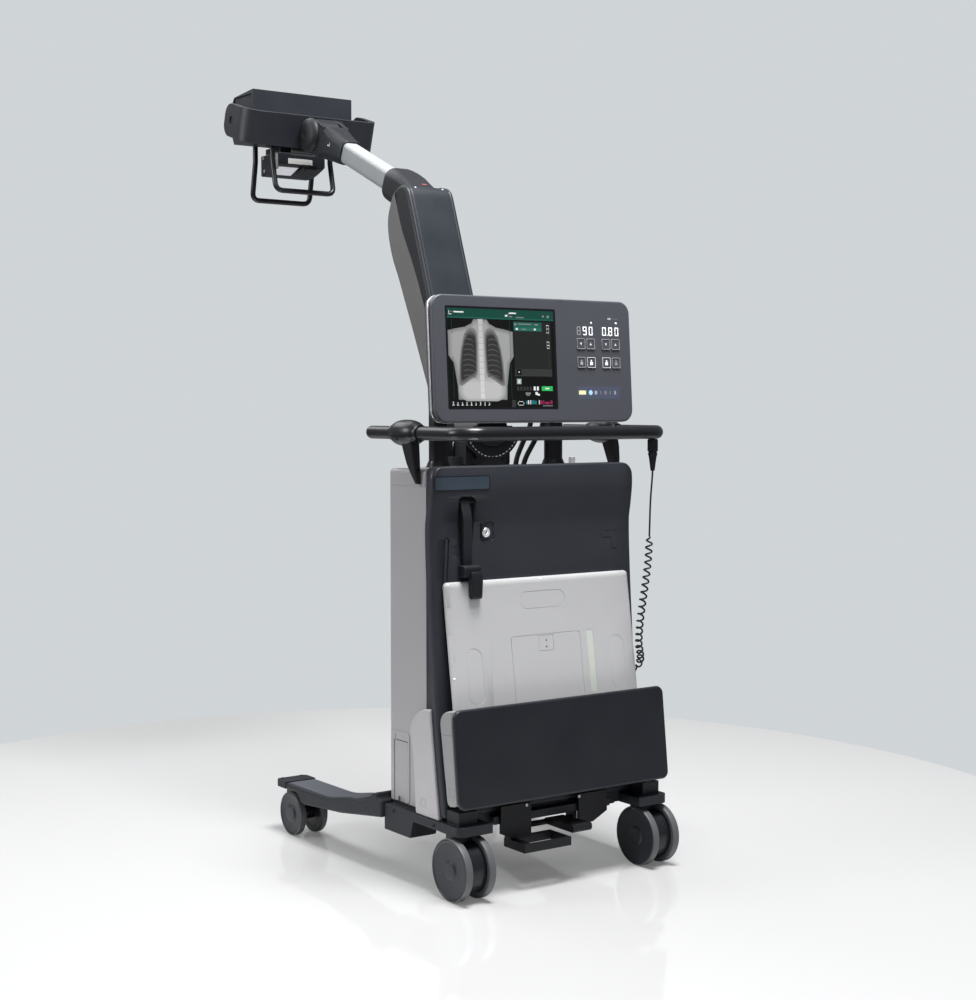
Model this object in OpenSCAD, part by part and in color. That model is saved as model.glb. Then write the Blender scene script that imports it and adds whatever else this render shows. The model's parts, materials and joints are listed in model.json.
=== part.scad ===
// Portable x-ray machine for the ward: a slim battery-powered body on four
// twin-wheel casters, a detector bin and a screen at the operator's side, and a
// folding arm over the patient side that carries the tube head in a yoke.
// Y = 0 is the rear axle line while a piece is drawn, and machine() then moves
// all of it so that the origin lies on the floor under the middle of its box.

/* [Body] */
// Width of the silver body
body_w = 500; // [460:1:520]
// Rear face of the silver body, from the rear axle line
body_back_y = 114; // [108:1:122]
// Front face of the silver body
body_front_y = 264; // [258:1:280]
// Height of the body's lower edge
body_z = 156; // [154:1:160]
// Height of the line where the lid sits
lid_z = 810; // [790:1:820]
// Height of the lid itself
lid_h = 34; // [26:1:40]
// Wall of the moulded covers
cover_t = 5; // [3:0.5:7]
// Radius of the body's front corners
body_r = 22; // [14:1:30]

/* [Rear shell] */
// Width of the black shell behind the body
shell_w = 516; // [504:1:522]
// Depth of the shell's edge
shell_t = 20; // [16:1:24]

/* [Detector bin] */
// Width of the bin over its end caps
bin_w = 536; // [524:1:540]
// Height of the bin's upper edge
bin_top_z = 380; // [365:1:395]
// Height of the bin's lower edge
bin_low_z = 184; // [178:1:190]
// Thickness of each end cap
bin_cap_t = 14; // [10:1:18]
// Lean of the bin and of the detector in it, degrees from upright
bin_lean = 6.4; // [5:0.2:8]

/* [Detector] */
// Width of the flat detector panel
detector_w = 470; // [440:1:480]
// Height of the panel
detector_h = 384; // [360:1:400]
// Thickness of the panel
detector_t = 16; // [12:1:20]
// Lean of the panel, degrees from upright
detector_lean = 8.5; // [8:0.1:9]

/* [Base] */
// Half the distance between the left and right casters
caster_x = 237; // [225:1:245]
// Height of the foot plates' underside
foot_z = 131; // [129:1:134]
// Thickness of the foot plates
foot_t = 19; // [14:1:24]
// Width of each front leg
leg_w = 78; // [70:1:84]
// Thickness of a front leg at its tip
tip_t = 16; // [12:1:20]

/* [Casters] */
// Diameter of the rear wheels
rear_wheel_d = 125; // [120:1:126]
// Diameter of the front wheels
front_wheel_d = 98; // [90:1:100]
// Front axle line, from the rear one
wheelbase = 645; // [600:1:680]
// How far each rear wheel trails behind its swivel
rear_trail = 20; // [18:1:22]
// How far each front wheel trails behind its swivel
front_trail = 30; // [24:1:34]
// Width over a pair of twin wheels
twin_w = 72; // [68:1:76]
// Width of one wheel
wheel_w = 17; // [14:1:19]
// Diameter of the axles
axle_d = 10; // [8:0.5:12]
// Diameter of the swivel stems
stem_d = 16; // [12:1:20]

/* [Handle] */
// Diameter of the handle's tube
handle_d = 28; // [24:1:32]
// Width of the handle between the centres of its side bars
handle_w = 508; // [490:1:520]
// Height of the handle's centre line
handle_z = 917; // [905:1:925]
// Cross bar of the handle, behind the rear axle line
handle_back = 30; // [20:1:40]
// Length of the side bars
handle_len = 355; // [320:1:380]

/* [Monitor] */
// Width of the monitor
monitor_w = 506; // [480:1:530]
// Height of the monitor
monitor_h = 256; // [230:1:262]
// Thickness of the monitor at its edge
monitor_t = 32; // [28:1:40]
// Lean of the monitor, degrees back
monitor_lean = 3.8; // [0:0.1:6]
// Height of the monitor's lower edge
monitor_z = 938; // [936:1:955]
// Distance of each post from the centre plane
post_x = 150; // [140:1:165]
// Diameter of the posts
post_d = 40; // [34:1:46]

/* [Mast] */
// Swivel axis of the mast, from the rear axle line
mast_y = 320; // [314:1:326]
// Diameter of the mast and of the turret on it
mast_d = 170; // [160:2:180]
// Height of the boom's lower pivot
boom_pivot_z = 925; // [918:1:932]

/* [Boom] */
// Length of the boom between its pivots
boom_len = 537; // [500:1:590]
// Forward lean of the boom at rest, degrees
boom_lean = 19.6; // [15:0.2:24]
// Width of the boom
boom_w = 123; // [115:1:130]
// Diameter of the pins at the arm's joints
pin_d = 20; // [16:1:24]

/* [Upper arm] */
// Length of the upper arm between its pivots
arm_len = 492; // [440:1:540]
// Rise of the upper arm at rest, degrees
arm_rise = 24; // [18:0.2:28]
// Width of the light tube
tube_w = 44; // [38:1:50]
// Height of the light tube
tube_h = 50; // [44:1:54]
// Width of the root that sits in the boom's slot
root_w = 80; // [72:1:84]
// Length of the root from the elbow's axis to the light tube
root_len = 180; // [150:1:200]

/* [Tube head] */
// Pitch of the yoke at rest, degrees
yoke_pitch = 17; // [12:0.5:20]
// Outer width of the yoke
yoke_w = 374; // [364:1:390]
// Height of the yoke's band
yoke_h = 80; // [74:1:86]
// Thickness of the yoke's band
yoke_t = 15; // [12:1:18]
// From the wrist's axis to the rear face of the yoke
yoke_gap = 44; // [43:1:50]
// From the wrist's axis to the head's own pivots
head_reach = 132; // [126:1:140]
// Width of the tube housing
head_w = 280; // [260:1:290]
// Depth of the tube housing
head_d = 111; // [104:1:114]
// Height of the tube housing
head_h = 132; // [124:1:138]
// Width of the collimator
collimator_w = 132; // [120:1:140]
// Diameter of the grab handles' tube
grab_d = 13; // [10:1:15]

/* [Hidden] */
$fn = 64;

// Clearances
fit_gap = 0.05; // radial, pin in bore
seat_gap = 0.3; // between pieces that sit on each other
run_gap = 1; // between faces that turn past each other

half_w = body_w / 2;
lid_top = lid_z + lid_h;
rear_swivel_y = rear_trail;
front_swivel_y = wheelbase + front_trail;
core_w = twin_w - 2 * wheel_w - 2 * run_gap;

// Places along the arm, as [y, z]
boom_pivot = [mast_y + 5, boom_pivot_z];
elbow = boom_pivot + boom_len * [sin(boom_lean), cos(boom_lean)];
wrist = elbow + arm_len * [cos(arm_rise), sin(arm_rise)];
head_pivot = wrist + head_reach * [cos(yoke_pitch), sin(yoke_pitch)];

// The tube housing about its pivots: how far it reaches back and down
head_back = 26;
head_down = 54;
// Each grab handle: y at the housing, y and height of its cross bar, height of its ends
grab_rows = [[-16, -34, -165, -54.3], [74, 92, -178, -47]];
front_end_y = head_pivot[0] + grab_rows[1][1] + grab_d / 2;
rear_end_y = -rear_wheel_d / 2;
mid_y = (front_end_y + rear_end_y) / 2;

module machine() {
    translate([0, -mid_y, 0])
        children();
}

module mirrored() {
    children();
    mirror([1, 0, 0])
        children();
}

// Extrudes a [y, z] outline along X between two places
module yz_slab(x0, x1) {
    translate([x0, 0, 0])
        rotate([90, 0, 90])
            linear_extrude(x1 - x0)
                children();
}

// A shaft or bore along X about the place [y, z]
module x_rod(d, x0, x1, at) {
    translate([x0, at[0], at[1]])
        rotate([0, 90, 0])
            cylinder(d = d, h = x1 - x0);
}

// A rectangle with true round corners, made without hull
module plain_round_rect(w, h, r) {
    square([w - 2 * r, h], center = true);
    square([w, h - 2 * r], center = true);
    for (x = [-w / 2 + r, w / 2 - r], y = [-h / 2 + r, h / 2 - r])
        translate([x, y])
            circle(r);
}

// Base: chassis, legs and feet

rail_y = [137, 247]; // side block of the chassis, rear and front
rail_z = 95; // its underside
rail_in = 204; // its inner face
side_x = 268; // outer face of the chassis and of the foot plates
frame_back = rear_trail + 18.3; // rear edge of the chassis plate behind the feet
tongue_w = 300; // narrow middle of the chassis at its rear edge
tongue_back = 20 + seat_gap;
tongue_h = 17;
frame_h = body_z - foot_z - seat_gap;

module base_frame() {
    color([0.25, 0.25, 0.27])
        union() {
            translate([-half_w + 2, frame_back, foot_z])
                cube([body_w - 4, rail_y[1] - frame_back, frame_h]);
            translate([-side_x, frame_back, foot_z])
                cube([2 * side_x, rail_y[1] - frame_back, tongue_h]);
            translate([-mast_d / 2, rail_y[1] - 10, foot_z])
                cube([mast_d, mast_y - rail_y[1] + mast_d / 2 + 10, frame_h]);
            translate([-tongue_w / 2, tongue_back, foot_z])
                cube([tongue_w, frame_back - tongue_back + 1, tongue_h]);
            mirrored()
                yz_slab(rail_in, side_x)
                    polygon([[rail_y[0] + 12, rail_z], [rail_y[1], rail_z], [rail_y[1], foot_z + tongue_h],
                        [rail_y[0] - 8, foot_z + tongue_h], [rail_y[0] - 8, foot_z], [rail_y[0], foot_z]]);
        }
}

plate_t = 6; // plates across the rear edge, either side of the pedal
plate_x = 137; // outer edge of the rear plates, clear of the turning casters
plate_y = 14;
plate_z = 97; // lower edge of the left one
plate_top = foot_z + 37;

tip_z = front_wheel_d + 5; // underside of the legs' tips
leg_top = tip_z + tip_t - 1;
leg_end = front_swivel_y - 15; // front end of a leg, where its tip begins
tip_end = front_swivel_y + 31;
leg_back = rail_y[1] + seat_gap;
dip_y = leg_back + 0.6 * (leg_end - leg_back); // where the leg has come down to its level stretch
throat_y = wheelbase - front_wheel_d / 2 - 8; // the leg's underside steps up here, clear of the wheels

// Half of a cosine wave from a to b, in n steps
function ease(a, b, n) = [for (i = [0:n]) let (k = i / n)
    [a[0] + (b[0] - a[0]) * k, a[1] + (b[1] - a[1]) * (1 - cos(180 * k)) / 2]];

module front_legs() {
    root_y = body_front_y + seat_gap;
    color([0.25, 0.25, 0.27])
        mirrored()
            yz_slab(caster_x - leg_w / 2, caster_x + leg_w / 2)
                polygon(concat(
                    [[leg_back, rail_z + 24], [leg_back, body_z - seat_gap], [root_y, body_z - seat_gap]],
                    ease([root_y, body_z + 12], [root_y + 70, leg_top + 21], 6),
                    ease([root_y + 90, leg_top + 19], [dip_y, leg_top], 8),
                    [[leg_end, leg_top - 1], [leg_end, tip_z], [throat_y + 22, tip_z], [throat_y + 2, tip_z - 18],
                        [throat_y - 12, tip_z - 21], [(throat_y + leg_back) / 2, tip_z - 8]]
                ));
}

module leg_tips() {
    r = 12;
    color([0.2, 0.2, 0.22])
        mirrored()
            difference() {
                translate([caster_x, 0, tip_z])
                    linear_extrude(tip_t)
                        union() {
                            translate([-leg_w / 2, leg_end + seat_gap])
                                square([leg_w, tip_end - leg_end - seat_gap - r]);
                            translate([-leg_w / 2 + r, tip_end - r - 1])
                                square([leg_w - 2 * r, r + 1]);
                            for (m = [-1, 1])
                                translate([m * (leg_w / 2 - r), tip_end - r])
                                    circle(r);
                        }
                translate([caster_x, front_swivel_y, tip_z - 1])
                    cylinder(d = stem_d + 2 * fit_gap, h = tip_t - 3 + 1);
            }
}

foot_in = 188; // inner edge of a rear foot plate
foot_back = 30; // its rear edge, behind the axle line
foot_r = 16;
block_top = 176;

module rear_feet() {
    front = frame_back - seat_gap;
    color([0.2, 0.2, 0.22])
        mirrored()
            difference() {
                union() {
                    translate([0, 0, foot_z])
                        linear_extrude(foot_t)
                            union() {
                                translate([foot_in, -foot_back])
                                    square([side_x - foot_r - foot_in, front + foot_back]);
                                translate([side_x - foot_r - 1, -foot_back + foot_r])
                                    square([foot_r + 1, front + foot_back - foot_r]);
                                translate([side_x - foot_r, -foot_back + foot_r])
                                    circle(foot_r);
                            }
                    translate([caster_x - 24, rear_swivel_y - 32, foot_z])
                        cube([44, 42, block_top - foot_z]);
                }
                translate([caster_x, rear_swivel_y, foot_z - 1])
                    cylinder(d = stem_d + 2 * fit_gap, h = foot_t + 11);
            }
}

// Brake pedal and its bracket under the rear edge

pedal_pivot = [58, 109];

module brake_pedal() {
    color([0.2, 0.2, 0.22])
        union() {
            x_rod(12, -72 + seat_gap, 72 - seat_gap, pedal_pivot);
            // foot plate, as [y, z] from the shaft
            translate([0, pedal_pivot[0], pedal_pivot[1]])
                yz_slab(12, 60)
                    polygon([[8, 6], [8, -6], [-86, -7], [-90, -3], [-90, 6], [-86, 9], [-74, 8]]);
        }
}

stirrup_z = 78; // underside of the stirrup

module pedal_bracket() {
    color([0.16, 0.16, 0.18])
        difference() {
            union() {
                // plates across the rear edge
                translate([0, plate_y + plate_t, 0])
                    rotate([90, 0, 0])
                        linear_extrude(plate_t)
                            union() {
                                polygon([[-plate_x, foot_z - 19], [-plate_x + 37, plate_z], [-61, plate_z],
                                    [-61, plate_top], [-plate_x, plate_top]]);
                                polygon([[61, plate_z + 8], [plate_x - 38, plate_z + 8], [plate_x, foot_z - 7],
                                    [plate_x, plate_top], [61, plate_top]]);
                            }
                // two ears that hold the pedal's shaft
                for (x = [-80, 72])
                    translate([x, pedal_pivot[0] - 14, pedal_pivot[1] - 14])
                        cube([8, 28, foot_z - pedal_pivot[1] + 14 - seat_gap]);
                // flat stirrup, open in the middle
                translate([-110, -30, stirrup_z])
                    cube([118, 72, 18]);
                translate([-110, plate_y + plate_t - 1, stirrup_z])
                    cube([18, 21, foot_z - stirrup_z - seat_gap]);
            }
            translate([-92, -24, stirrup_z - 1])
                cube([94, 58, 20]);
        }
}

// Casters

module caster_fork(side, wheel_d, wheel_y, trail, top_z, stem_h, covered) {
    swivel_y = wheel_y + trail;
    axle_z = wheel_d / 2;
    color([0.14, 0.14, 0.16])
        translate([side * caster_x, 0, 0])
            difference() {
                union() {
                    // body round the axle, as wide as fits between the wheels
                    x_rod(covered ? wheel_d * 0.8 : 34, -core_w / 2, core_w / 2, [wheel_y, axle_z]);
                    yz_slab(-core_w / 2, core_w / 2)
                        polygon([
                            [wheel_y - 10, axle_z], [wheel_y + 12, axle_z - 10],
                            [swivel_y + 17, top_z - 24], [swivel_y + 17, top_z - run_gap],
                            [swivel_y - 17, top_z - run_gap]
                        ]);
                    translate([0, swivel_y, top_z - 12])
                        cylinder(d = core_w - 1, h = 12 - run_gap);
                    translate([0, swivel_y, top_z - 2])
                        cylinder(d = stem_d, h = stem_h + 2);
                }
                x_rod(axle_d + 2 * fit_gap, -core_w, core_w, [wheel_y, axle_z]);
            }
}

module caster_wheels(side, wheel_d, wheel_y) {
    axle_z = wheel_d / 2;
    r = wheel_d / 2;
    a = twin_w / 2 - wheel_w; // inner face of a wheel, from the middle
    b = twin_w / 2;
    // Half of the profile as [radius, across], from the axle to the hub cap
    half = [
        [axle_d / 2, a + 2], [r - 12, a + 2], [r - 9, a], [r - 3, a], [r - 1, a + 1], [r, a + 3],
        [r, b - 3], [r - 1, b - 1], [r - 3, b], [r - 10, b], [r - 13, b - 3], [18, b - 3], [16, b], [0, b]
    ];
    n = len(half);
    color([0.28, 0.28, 0.3])
        translate([side * caster_x, wheel_y, axle_z])
            rotate([0, 90, 0])
                rotate_extrude()
                    polygon(concat([for (i = [n - 1:-1:0]) [half[i][0], -half[i][1]]], half));
}

module fork_rear_left() { caster_fork(-1, rear_wheel_d, 0, rear_trail, foot_z, foot_t + 5, true); }
module fork_rear_right() { caster_fork(1, rear_wheel_d, 0, rear_trail, foot_z, foot_t + 5, true); }
module fork_front_left() { caster_fork(-1, front_wheel_d, wheelbase, front_trail, tip_z, tip_t - 4, false); }
module fork_front_right() { caster_fork(1, front_wheel_d, wheelbase, front_trail, tip_z, tip_t - 4, false); }
module wheels_rear_left() { caster_wheels(-1, rear_wheel_d, 0); }
module wheels_rear_right() { caster_wheels(1, rear_wheel_d, 0); }
module wheels_front_left() { caster_wheels(-1, front_wheel_d, wheelbase); }
module wheels_front_right() { caster_wheels(1, front_wheel_d, wheelbase); }

// Silver body, with its lid and lower covers

module body_plan(inset, r) {
    back = body_back_y + inset;
    front = body_front_y - inset;
    w = half_w - inset;
    translate([-w, back])
        square([2 * w, front - back - r]);
    translate([-w + r, back])
        square([2 * (w - r), front - back]);
    for (s = [-1, 1])
        translate([s * (w - r), front - r])
            circle(r);
}

door_y = [183, 233]; // access door, rear and front edges
door_z = [157, 283]; // its foot and head
door_pin = 2.4;
door_hinge = [-half_w, 232];

module body_cover() {
    color([0.64, 0.64, 0.66])
        difference() {
            union() {
                translate([0, 0, body_z])
                    linear_extrude(lid_z - body_z - seat_gap)
                        body_plan(0, body_r);
                x_rod(14, half_w - 1, half_w + 14, gland_at);
                // raised frame round the access door
                yz_slab(-half_w - 1.5, -half_w + 1)
                    translate([(door_y[0] + door_y[1]) / 2 + 3, body_z + 74])
                        plain_round_rect(door_y[1] - door_y[0] + 20, 147, 10);
                // knuckle over the access door
                translate([door_hinge[0] - 2.5, door_hinge[1] - 4, door_z[1] + 2])
                    cube([5, 8, 12]);
            }
            translate([0, 0, body_z - 1])
                linear_extrude(lid_z - body_z + 2)
                    body_plan(cover_t, body_r - cover_t);
            // recess for the access door
            translate([-half_w - 3, door_y[0] - 2, body_z - 1])
                cube([6, door_y[1] - door_y[0] + 4, door_z[1] - body_z + 3]);
            translate([door_hinge[0], door_hinge[1], door_z[1] - 1])
                cylinder(d = door_pin + 2 * fit_gap, h = 12);
        }
}

spigot_d = 60; // round foot of the turret inside the mast
spigot_h = 30;

module mast_housing() {
    color([0.62, 0.62, 0.64])
        difference() {
            translate([0, 0, body_z])
                linear_extrude(lid_top - body_z)
                    union() {
                        translate([0, mast_y])
                            circle(d = mast_d);
                        translate([-mast_d / 2, body_front_y + seat_gap])
                            square([mast_d, mast_y - body_front_y - seat_gap]);
                    }
            translate([-mast_d, 0, body_z - 1])
                cube([2 * mast_d, body_front_y + seat_gap, lid_top]);
            translate([0, mast_y, lid_top - spigot_h])
                cylinder(d = spigot_d + 2 * fit_gap, h = spigot_h + 1);
        }
}

module power_pack() {
    gap = 14; // clear of the covers all round
    w = body_w - 8 * gap;
    color([0.3, 0.3, 0.32])
        translate([-w / 2, body_back_y + gap, body_z])
            cube([w, body_front_y - body_back_y - 2.4 * gap, (lid_z - body_z) / 2]);
}

module access_door() {
    color([0.62, 0.62, 0.64])
        difference() {
            union() {
                translate([-half_w - 0.5, door_y[0], door_z[0]])
                    cube([2.5, door_y[1] - door_y[0], door_z[1] - door_z[0]]);
                translate([door_hinge[0], door_hinge[1], door_z[1] - 6])
                    cylinder(d = door_pin, h = 15);
            }
            translate([-half_w - 2, (door_y[0] + door_y[1]) / 2 - 12, door_z[0] - 1])
                cube([6, 24, 11]);
        }
}

side_cover_t = 13; // how far a lower side cover stands out
side_cover_top = 367;
cover_low = foot_z + tongue_h + seat_gap;
cover_front = 157; // its front edge, where the round top begins
cover_round = [72, 59]; // half axes of the round top

module lower_covers() {
    color([0.6, 0.6, 0.62])
        mirrored()
            yz_slab(half_w + seat_gap, half_w + side_cover_t)
                polygon(concat(
                    [[rail_y[0] - 1, cover_low], [cover_front - 12, side_cover_top - 104]],
                    [for (a = [0:10:90]) [cover_front + cover_round[0] * (cos(a) - 1),
                        side_cover_top + cover_round[1] * (sin(a) - 1)]],
                    // rear edge along the shell
                    [for (i = [8:-1:0]) let (z = cover_low + (side_cover_top - 3 - cover_low) * i / 8)
                        [shell_y(z) + shell_t + 2 * seat_gap, z]]
                ));
}

module top_lid() {
    color([0.58, 0.58, 0.6])
        union() {
            translate([0, 0, lid_z])
                linear_extrude(lid_h - 6)
                    body_plan(0, body_r);
            translate([0, 0, lid_z + lid_h - 6])
                linear_extrude(6)
                    body_plan(5, body_r - 5);
        }
}

// Black shell at the operator's side: an S in side view

shell_top = lid_top + 7;
// Rear face as [height, y] knots, from the foot up
shell_knots = [[body_z, 33], [250, 48], [364, 63], [532, 76], [620, 82], [727, 86], [765, 80.5],
    [803, 76], [828, 77], [shell_top, 81]];

// A smooth line through the knots
function knot_slope(i) = i == 0 || i == len(shell_knots) - 1 ? shell_slope(max(i - 1, 0))
    : (shell_knots[i + 1][1] - shell_knots[i - 1][1]) / (shell_knots[i + 1][0] - shell_knots[i - 1][0]);
function shell_slope(i) = (shell_knots[i + 1][1] - shell_knots[i][1]) / (shell_knots[i + 1][0] - shell_knots[i][0]);
function shell_span(z, i = 0) = i >= len(shell_knots) - 2 || z <= shell_knots[i + 1][0] ? i : shell_span(z, i + 1);
function shell_y(z) =
    let (i = shell_span(z), a = shell_knots[i], b = shell_knots[i + 1], h = b[0] - a[0], k = (z - a[0]) / h)
        (2 * k * k * k - 3 * k * k + 1) * a[1] + (k * k * k - 2 * k * k + k) * h * knot_slope(i)
        + (3 * k * k - 2 * k * k * k) * b[1] + (k * k * k - k * k) * h * knot_slope(i + 1);

module rear_shell() {
    back = body_back_y - seat_gap;
    steps = 28;
    face = [for (i = [0:steps]) let (z = body_z + (shell_top - body_z) * i / steps) [shell_y(z), z]];
    corner = 25; // radius of the upper corners
    color([0.19, 0.2, 0.22])
        difference() {
            union() {
                yz_slab(-half_w + 1, half_w - 1)
                    polygon(concat(face, [[back, shell_top], [back, body_z]]));
                mirrored()
                    yz_slab(half_w - 2, shell_w / 2)
                        polygon(concat(face, [for (i = [steps:-1:0]) face[i] + [shell_t, 0]]));
            }
            mirrored()
                translate([shell_w / 2 - corner, 0, shell_top - corner])
                    rotate([-90, 0, 0])
                        linear_extrude(body_back_y + 20)
                            difference() {
                                translate([0, -corner - 1])
                                    square(corner + 1);
                                circle(corner);
                            }
            // pocket that the clamp pivots in
            translate([clamp_x - clamp_w / 2, 60, clamp_pivot[1] - 17])
                cube([clamp_w, 42, 30]);
            x_rod(clamp_pin + 2 * fit_gap, clamp_x - 27, clamp_x + 27, clamp_pivot);
            // hollow round the key lock
            translate([lock_at[0] - 13, 60, lock_at[1] - 17])
                cube([33, shell_y(lock_at[1]) - 60 + lock_deep, 40]);
        }
}

// Detector bin

bin_foot_y = -34; // rear face of the cover at the bin's lower edge

function bin_y(z) = bin_foot_y + (z - bin_low_z) * tan(bin_lean);

module bin_cover() {
    color([0.18, 0.19, 0.21])
        translate([0, bin_foot_y, bin_low_z])
            rotate([90 - bin_lean, 0, 0])
                translate([0, (bin_top_z - bin_low_z) / 2, -bin_cover_t])
                    linear_extrude(bin_cover_t)
                        plain_round_rect(bin_w, bin_top_z - bin_low_z, 16);
}

bin_cover_t = 12;
trough_t = 6; // wall of the trough
trough_z = 233;

module bin_trough() {
    inner = bin_w / 2 - bin_cap_t - seat_gap;
    top = bin_top_z - 40;
    cover_y = bin_cover_t + 1;
    color([0.15, 0.15, 0.17])
        yz_slab(-inner, inner)
            polygon([
                [bin_y(trough_z) + cover_y, trough_z], [shell_y(trough_z) - seat_gap - 2, trough_z],
                [shell_y(top) - seat_gap, top], [shell_y(top) - trough_t, top],
                [shell_y(trough_z) - trough_t - 2, trough_z + trough_t],
                [bin_y(trough_z + trough_t) + cover_y, trough_z + trough_t]
            ]);
}

module bin_caps() {
    y0 = bin_cover_t + 1; // clear of the cover's inner face
    low = bin_low_z + 16;
    high = bin_top_z - 4;
    color([0.58, 0.58, 0.6])
        mirrored()
            yz_slab(bin_w / 2 - bin_cap_t, bin_w / 2)
                polygon([
                    [bin_y(high) + y0, high], [bin_y(low) + y0, low], [bin_y(low) + y0 + 6, low - 10],
                    [4, low - 13], [11, low - 10], [14, low - 2], [38, high - 30], [37, high - 20],
                    [30, high - 10], [20, high - 4], [10, high - 1]
                ]);
}

detector_foot_y = 8.8; // rear face of the panel at its foot
detector_foot_z = 241.6;

module in_detector() {
    translate([0, detector_foot_y, detector_foot_z])
        rotate([-detector_lean, 0, 0])
            children();
}

module detector() {
    color([0.78, 0.78, 0.8])
        in_detector()
            translate([0, 0, detector_h / 2])
                rotate([90, 0, 0])
                    translate([0, 0, -detector_t])
                        linear_extrude(detector_t)
                            plain_round_rect(detector_w, detector_h, 9);
}

clamp_x = -173;
clamp_pivot = [88, 779]; // y and height of the clamp's pin
clamp_pin = 12;
clamp_w = 44; // width of its pocket and of its hook

module detector_clamp() {
    color([0.12, 0.12, 0.14])
        union() {
            x_rod(clamp_pin, clamp_x - 26, clamp_x + 26, clamp_pivot);
            translate([0, clamp_pivot[0], clamp_pivot[1]])
                union() {
                    // arm, as [y, z] from the pin
                    yz_slab(clamp_x - clamp_w / 4, clamp_x + clamp_w / 4)
                        polygon([[-4, 5], [4, -3], [-8, -15], [-12, -27], [-12, -131], [-23, -131], [-23, -27],
                            [-19, -13], [-11, -3]]);
                    // hook over the panel's upper edge
                    yz_slab(clamp_x - clamp_w / 2 - 6, clamp_x + 16)
                        polygon([[-12, -127], [-12, -149], [-34, -149], [-36, -131], [-32, -127]]);
                    yz_slab(clamp_x - 16, clamp_x + 16)
                        polygon([[-14, -143], [-14, -150], [-28, -156], [-28, -192], [-32, -196], [-38, -194],
                            [-42, -150], [-36, -138]]);
                }
        }
}

lock_at = [-124, 715]; // place of the key lock across the shell, and its height
lock_deep = 6; // how far the lock's hollow is sunk

module key_lock() {
    color([0.75, 0.75, 0.77])
        translate([lock_at[0], shell_y(lock_at[1]) + lock_deep - seat_gap, lock_at[1]])
            rotate([90, 0, 0])
                cylinder(d = 20, h = 8);
}

// Push handle with its two hubs and struts

handle_r = 45; // radius of the loop's corners

module handle_loop() {
    x = handle_w / 2;
    color([0.13, 0.13, 0.15])
        translate([0, -handle_back, handle_z])
            union() {
                translate([-x + handle_r, 0, 0])
                    rotate([0, 90, 0])
                        cylinder(d = handle_d, h = handle_w - 2 * handle_r);
                mirrored()
                    translate([x - handle_r, handle_r, 0])
                        rotate([0, 0, -90])
                            rotate_extrude(angle = 90)
                                translate([handle_r, 0])
                                    circle(d = handle_d);
                mirrored()
                    translate([x, handle_r, 0])
                        rotate([-90, 0, 0])
                            cylinder(d = handle_d, h = grip_y + handle_back - handle_r);
            }
}

grip_y = 224.5; // rear end of the bare bar ends ahead of the hubs
grip_d = handle_d - 1; // their diameter, without the loop's sleeve

module bar_grips() {
    x = handle_w / 2;
    end_y = handle_len - handle_back - handle_d / 2;
    color([0.13, 0.13, 0.15])
        mirrored()
            translate([x, 0, handle_z])
                union() {
                    translate([0, grip_y + seat_gap, 0])
                        rotate([-90, 0, 0])
                            cylinder(d = grip_d, h = end_y - grip_y - seat_gap);
                    translate([0, end_y, 0])
                        sphere(d = grip_d);
                }
}

hub_y = 182; // middle of the hubs on the side bars
hub_len = 84;
hub_wide = 54;
strut_t = 18;

module handle_struts() {
    x = handle_w / 2;
    // Half outline of a hub, as [radius, along]
    hub = [for (a = [-90:15:90]) [max(hub_wide / 2 * cos(a), handle_d / 2 + 3), hub_len / 2 * sin(a)]];
    color([0.12, 0.12, 0.14])
        mirrored()
            difference() {
                union() {
                    translate([x, hub_y, handle_z])
                        rotate([-90, 0, 0])
                            rotate_extrude()
                                polygon(concat([[0, -hub_len / 2]], hub, [[0, hub_len / 2]]));
                    // strut down to the lid's side
                    yz_slab(half_w + seat_gap, half_w + seat_gap + strut_t)
                        polygon([[hub_y - 26, handle_z - 12], [hub_y + 12, handle_z - 12], [hub_y - 6, lid_z + 34],
                            [hub_y - 24, lid_z + 3], [hub_y - 46, lid_z + 3], [hub_y - 44, lid_z + 40]]);
                }
                cube([half_w + seat_gap, body_front_y, lid_top + seat_gap]);
                translate([x, 0, handle_z])
                    rotate([-90, 0, 0])
                        cylinder(d = handle_d + 0.2, h = 400);
            }
}

// Hand switch, hung under the handle's right corner, and its lead

switch_at = [230, -18];
switch_top = handle_z - handle_d / 2 - seat_gap;

module hand_switch() {
    color([0.2, 0.2, 0.22])
        translate([switch_at[0], switch_at[1], 0])
            union() {
                translate([0, 0, 872])
                    cylinder(d = 22, h = switch_top - 872);
                translate([0, 0, 836])
                    cylinder(d1 = 9, d2 = 20, h = 36.5);
            }
}

lead_d = 4;
coil_d = 17;
lead_path = [[230, -18, 836], [229, -18, 820], [226, -18, 790], [224, -18, 760], [223, -18, 730], [222, -18, 700]];
coil_path = [[222, -18, 699.7], [220, -17, 649], [217, -12, 600], [217, -4, 563], [223, 12, 513],
    [237, 32, 467], [252, 45, 443], [265, 60, 425], [272, 80, 405]];
tail_path = [[272, 80.3, 404.8], [279, 95, 392], [283, 108, 382], [284, 120, 376], [280, 131, 374],
    [272, 137, 374], [264.3, 137, 374]];
gland_at = [137, 374]; // y and z of the lead's gland on the right side

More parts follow.
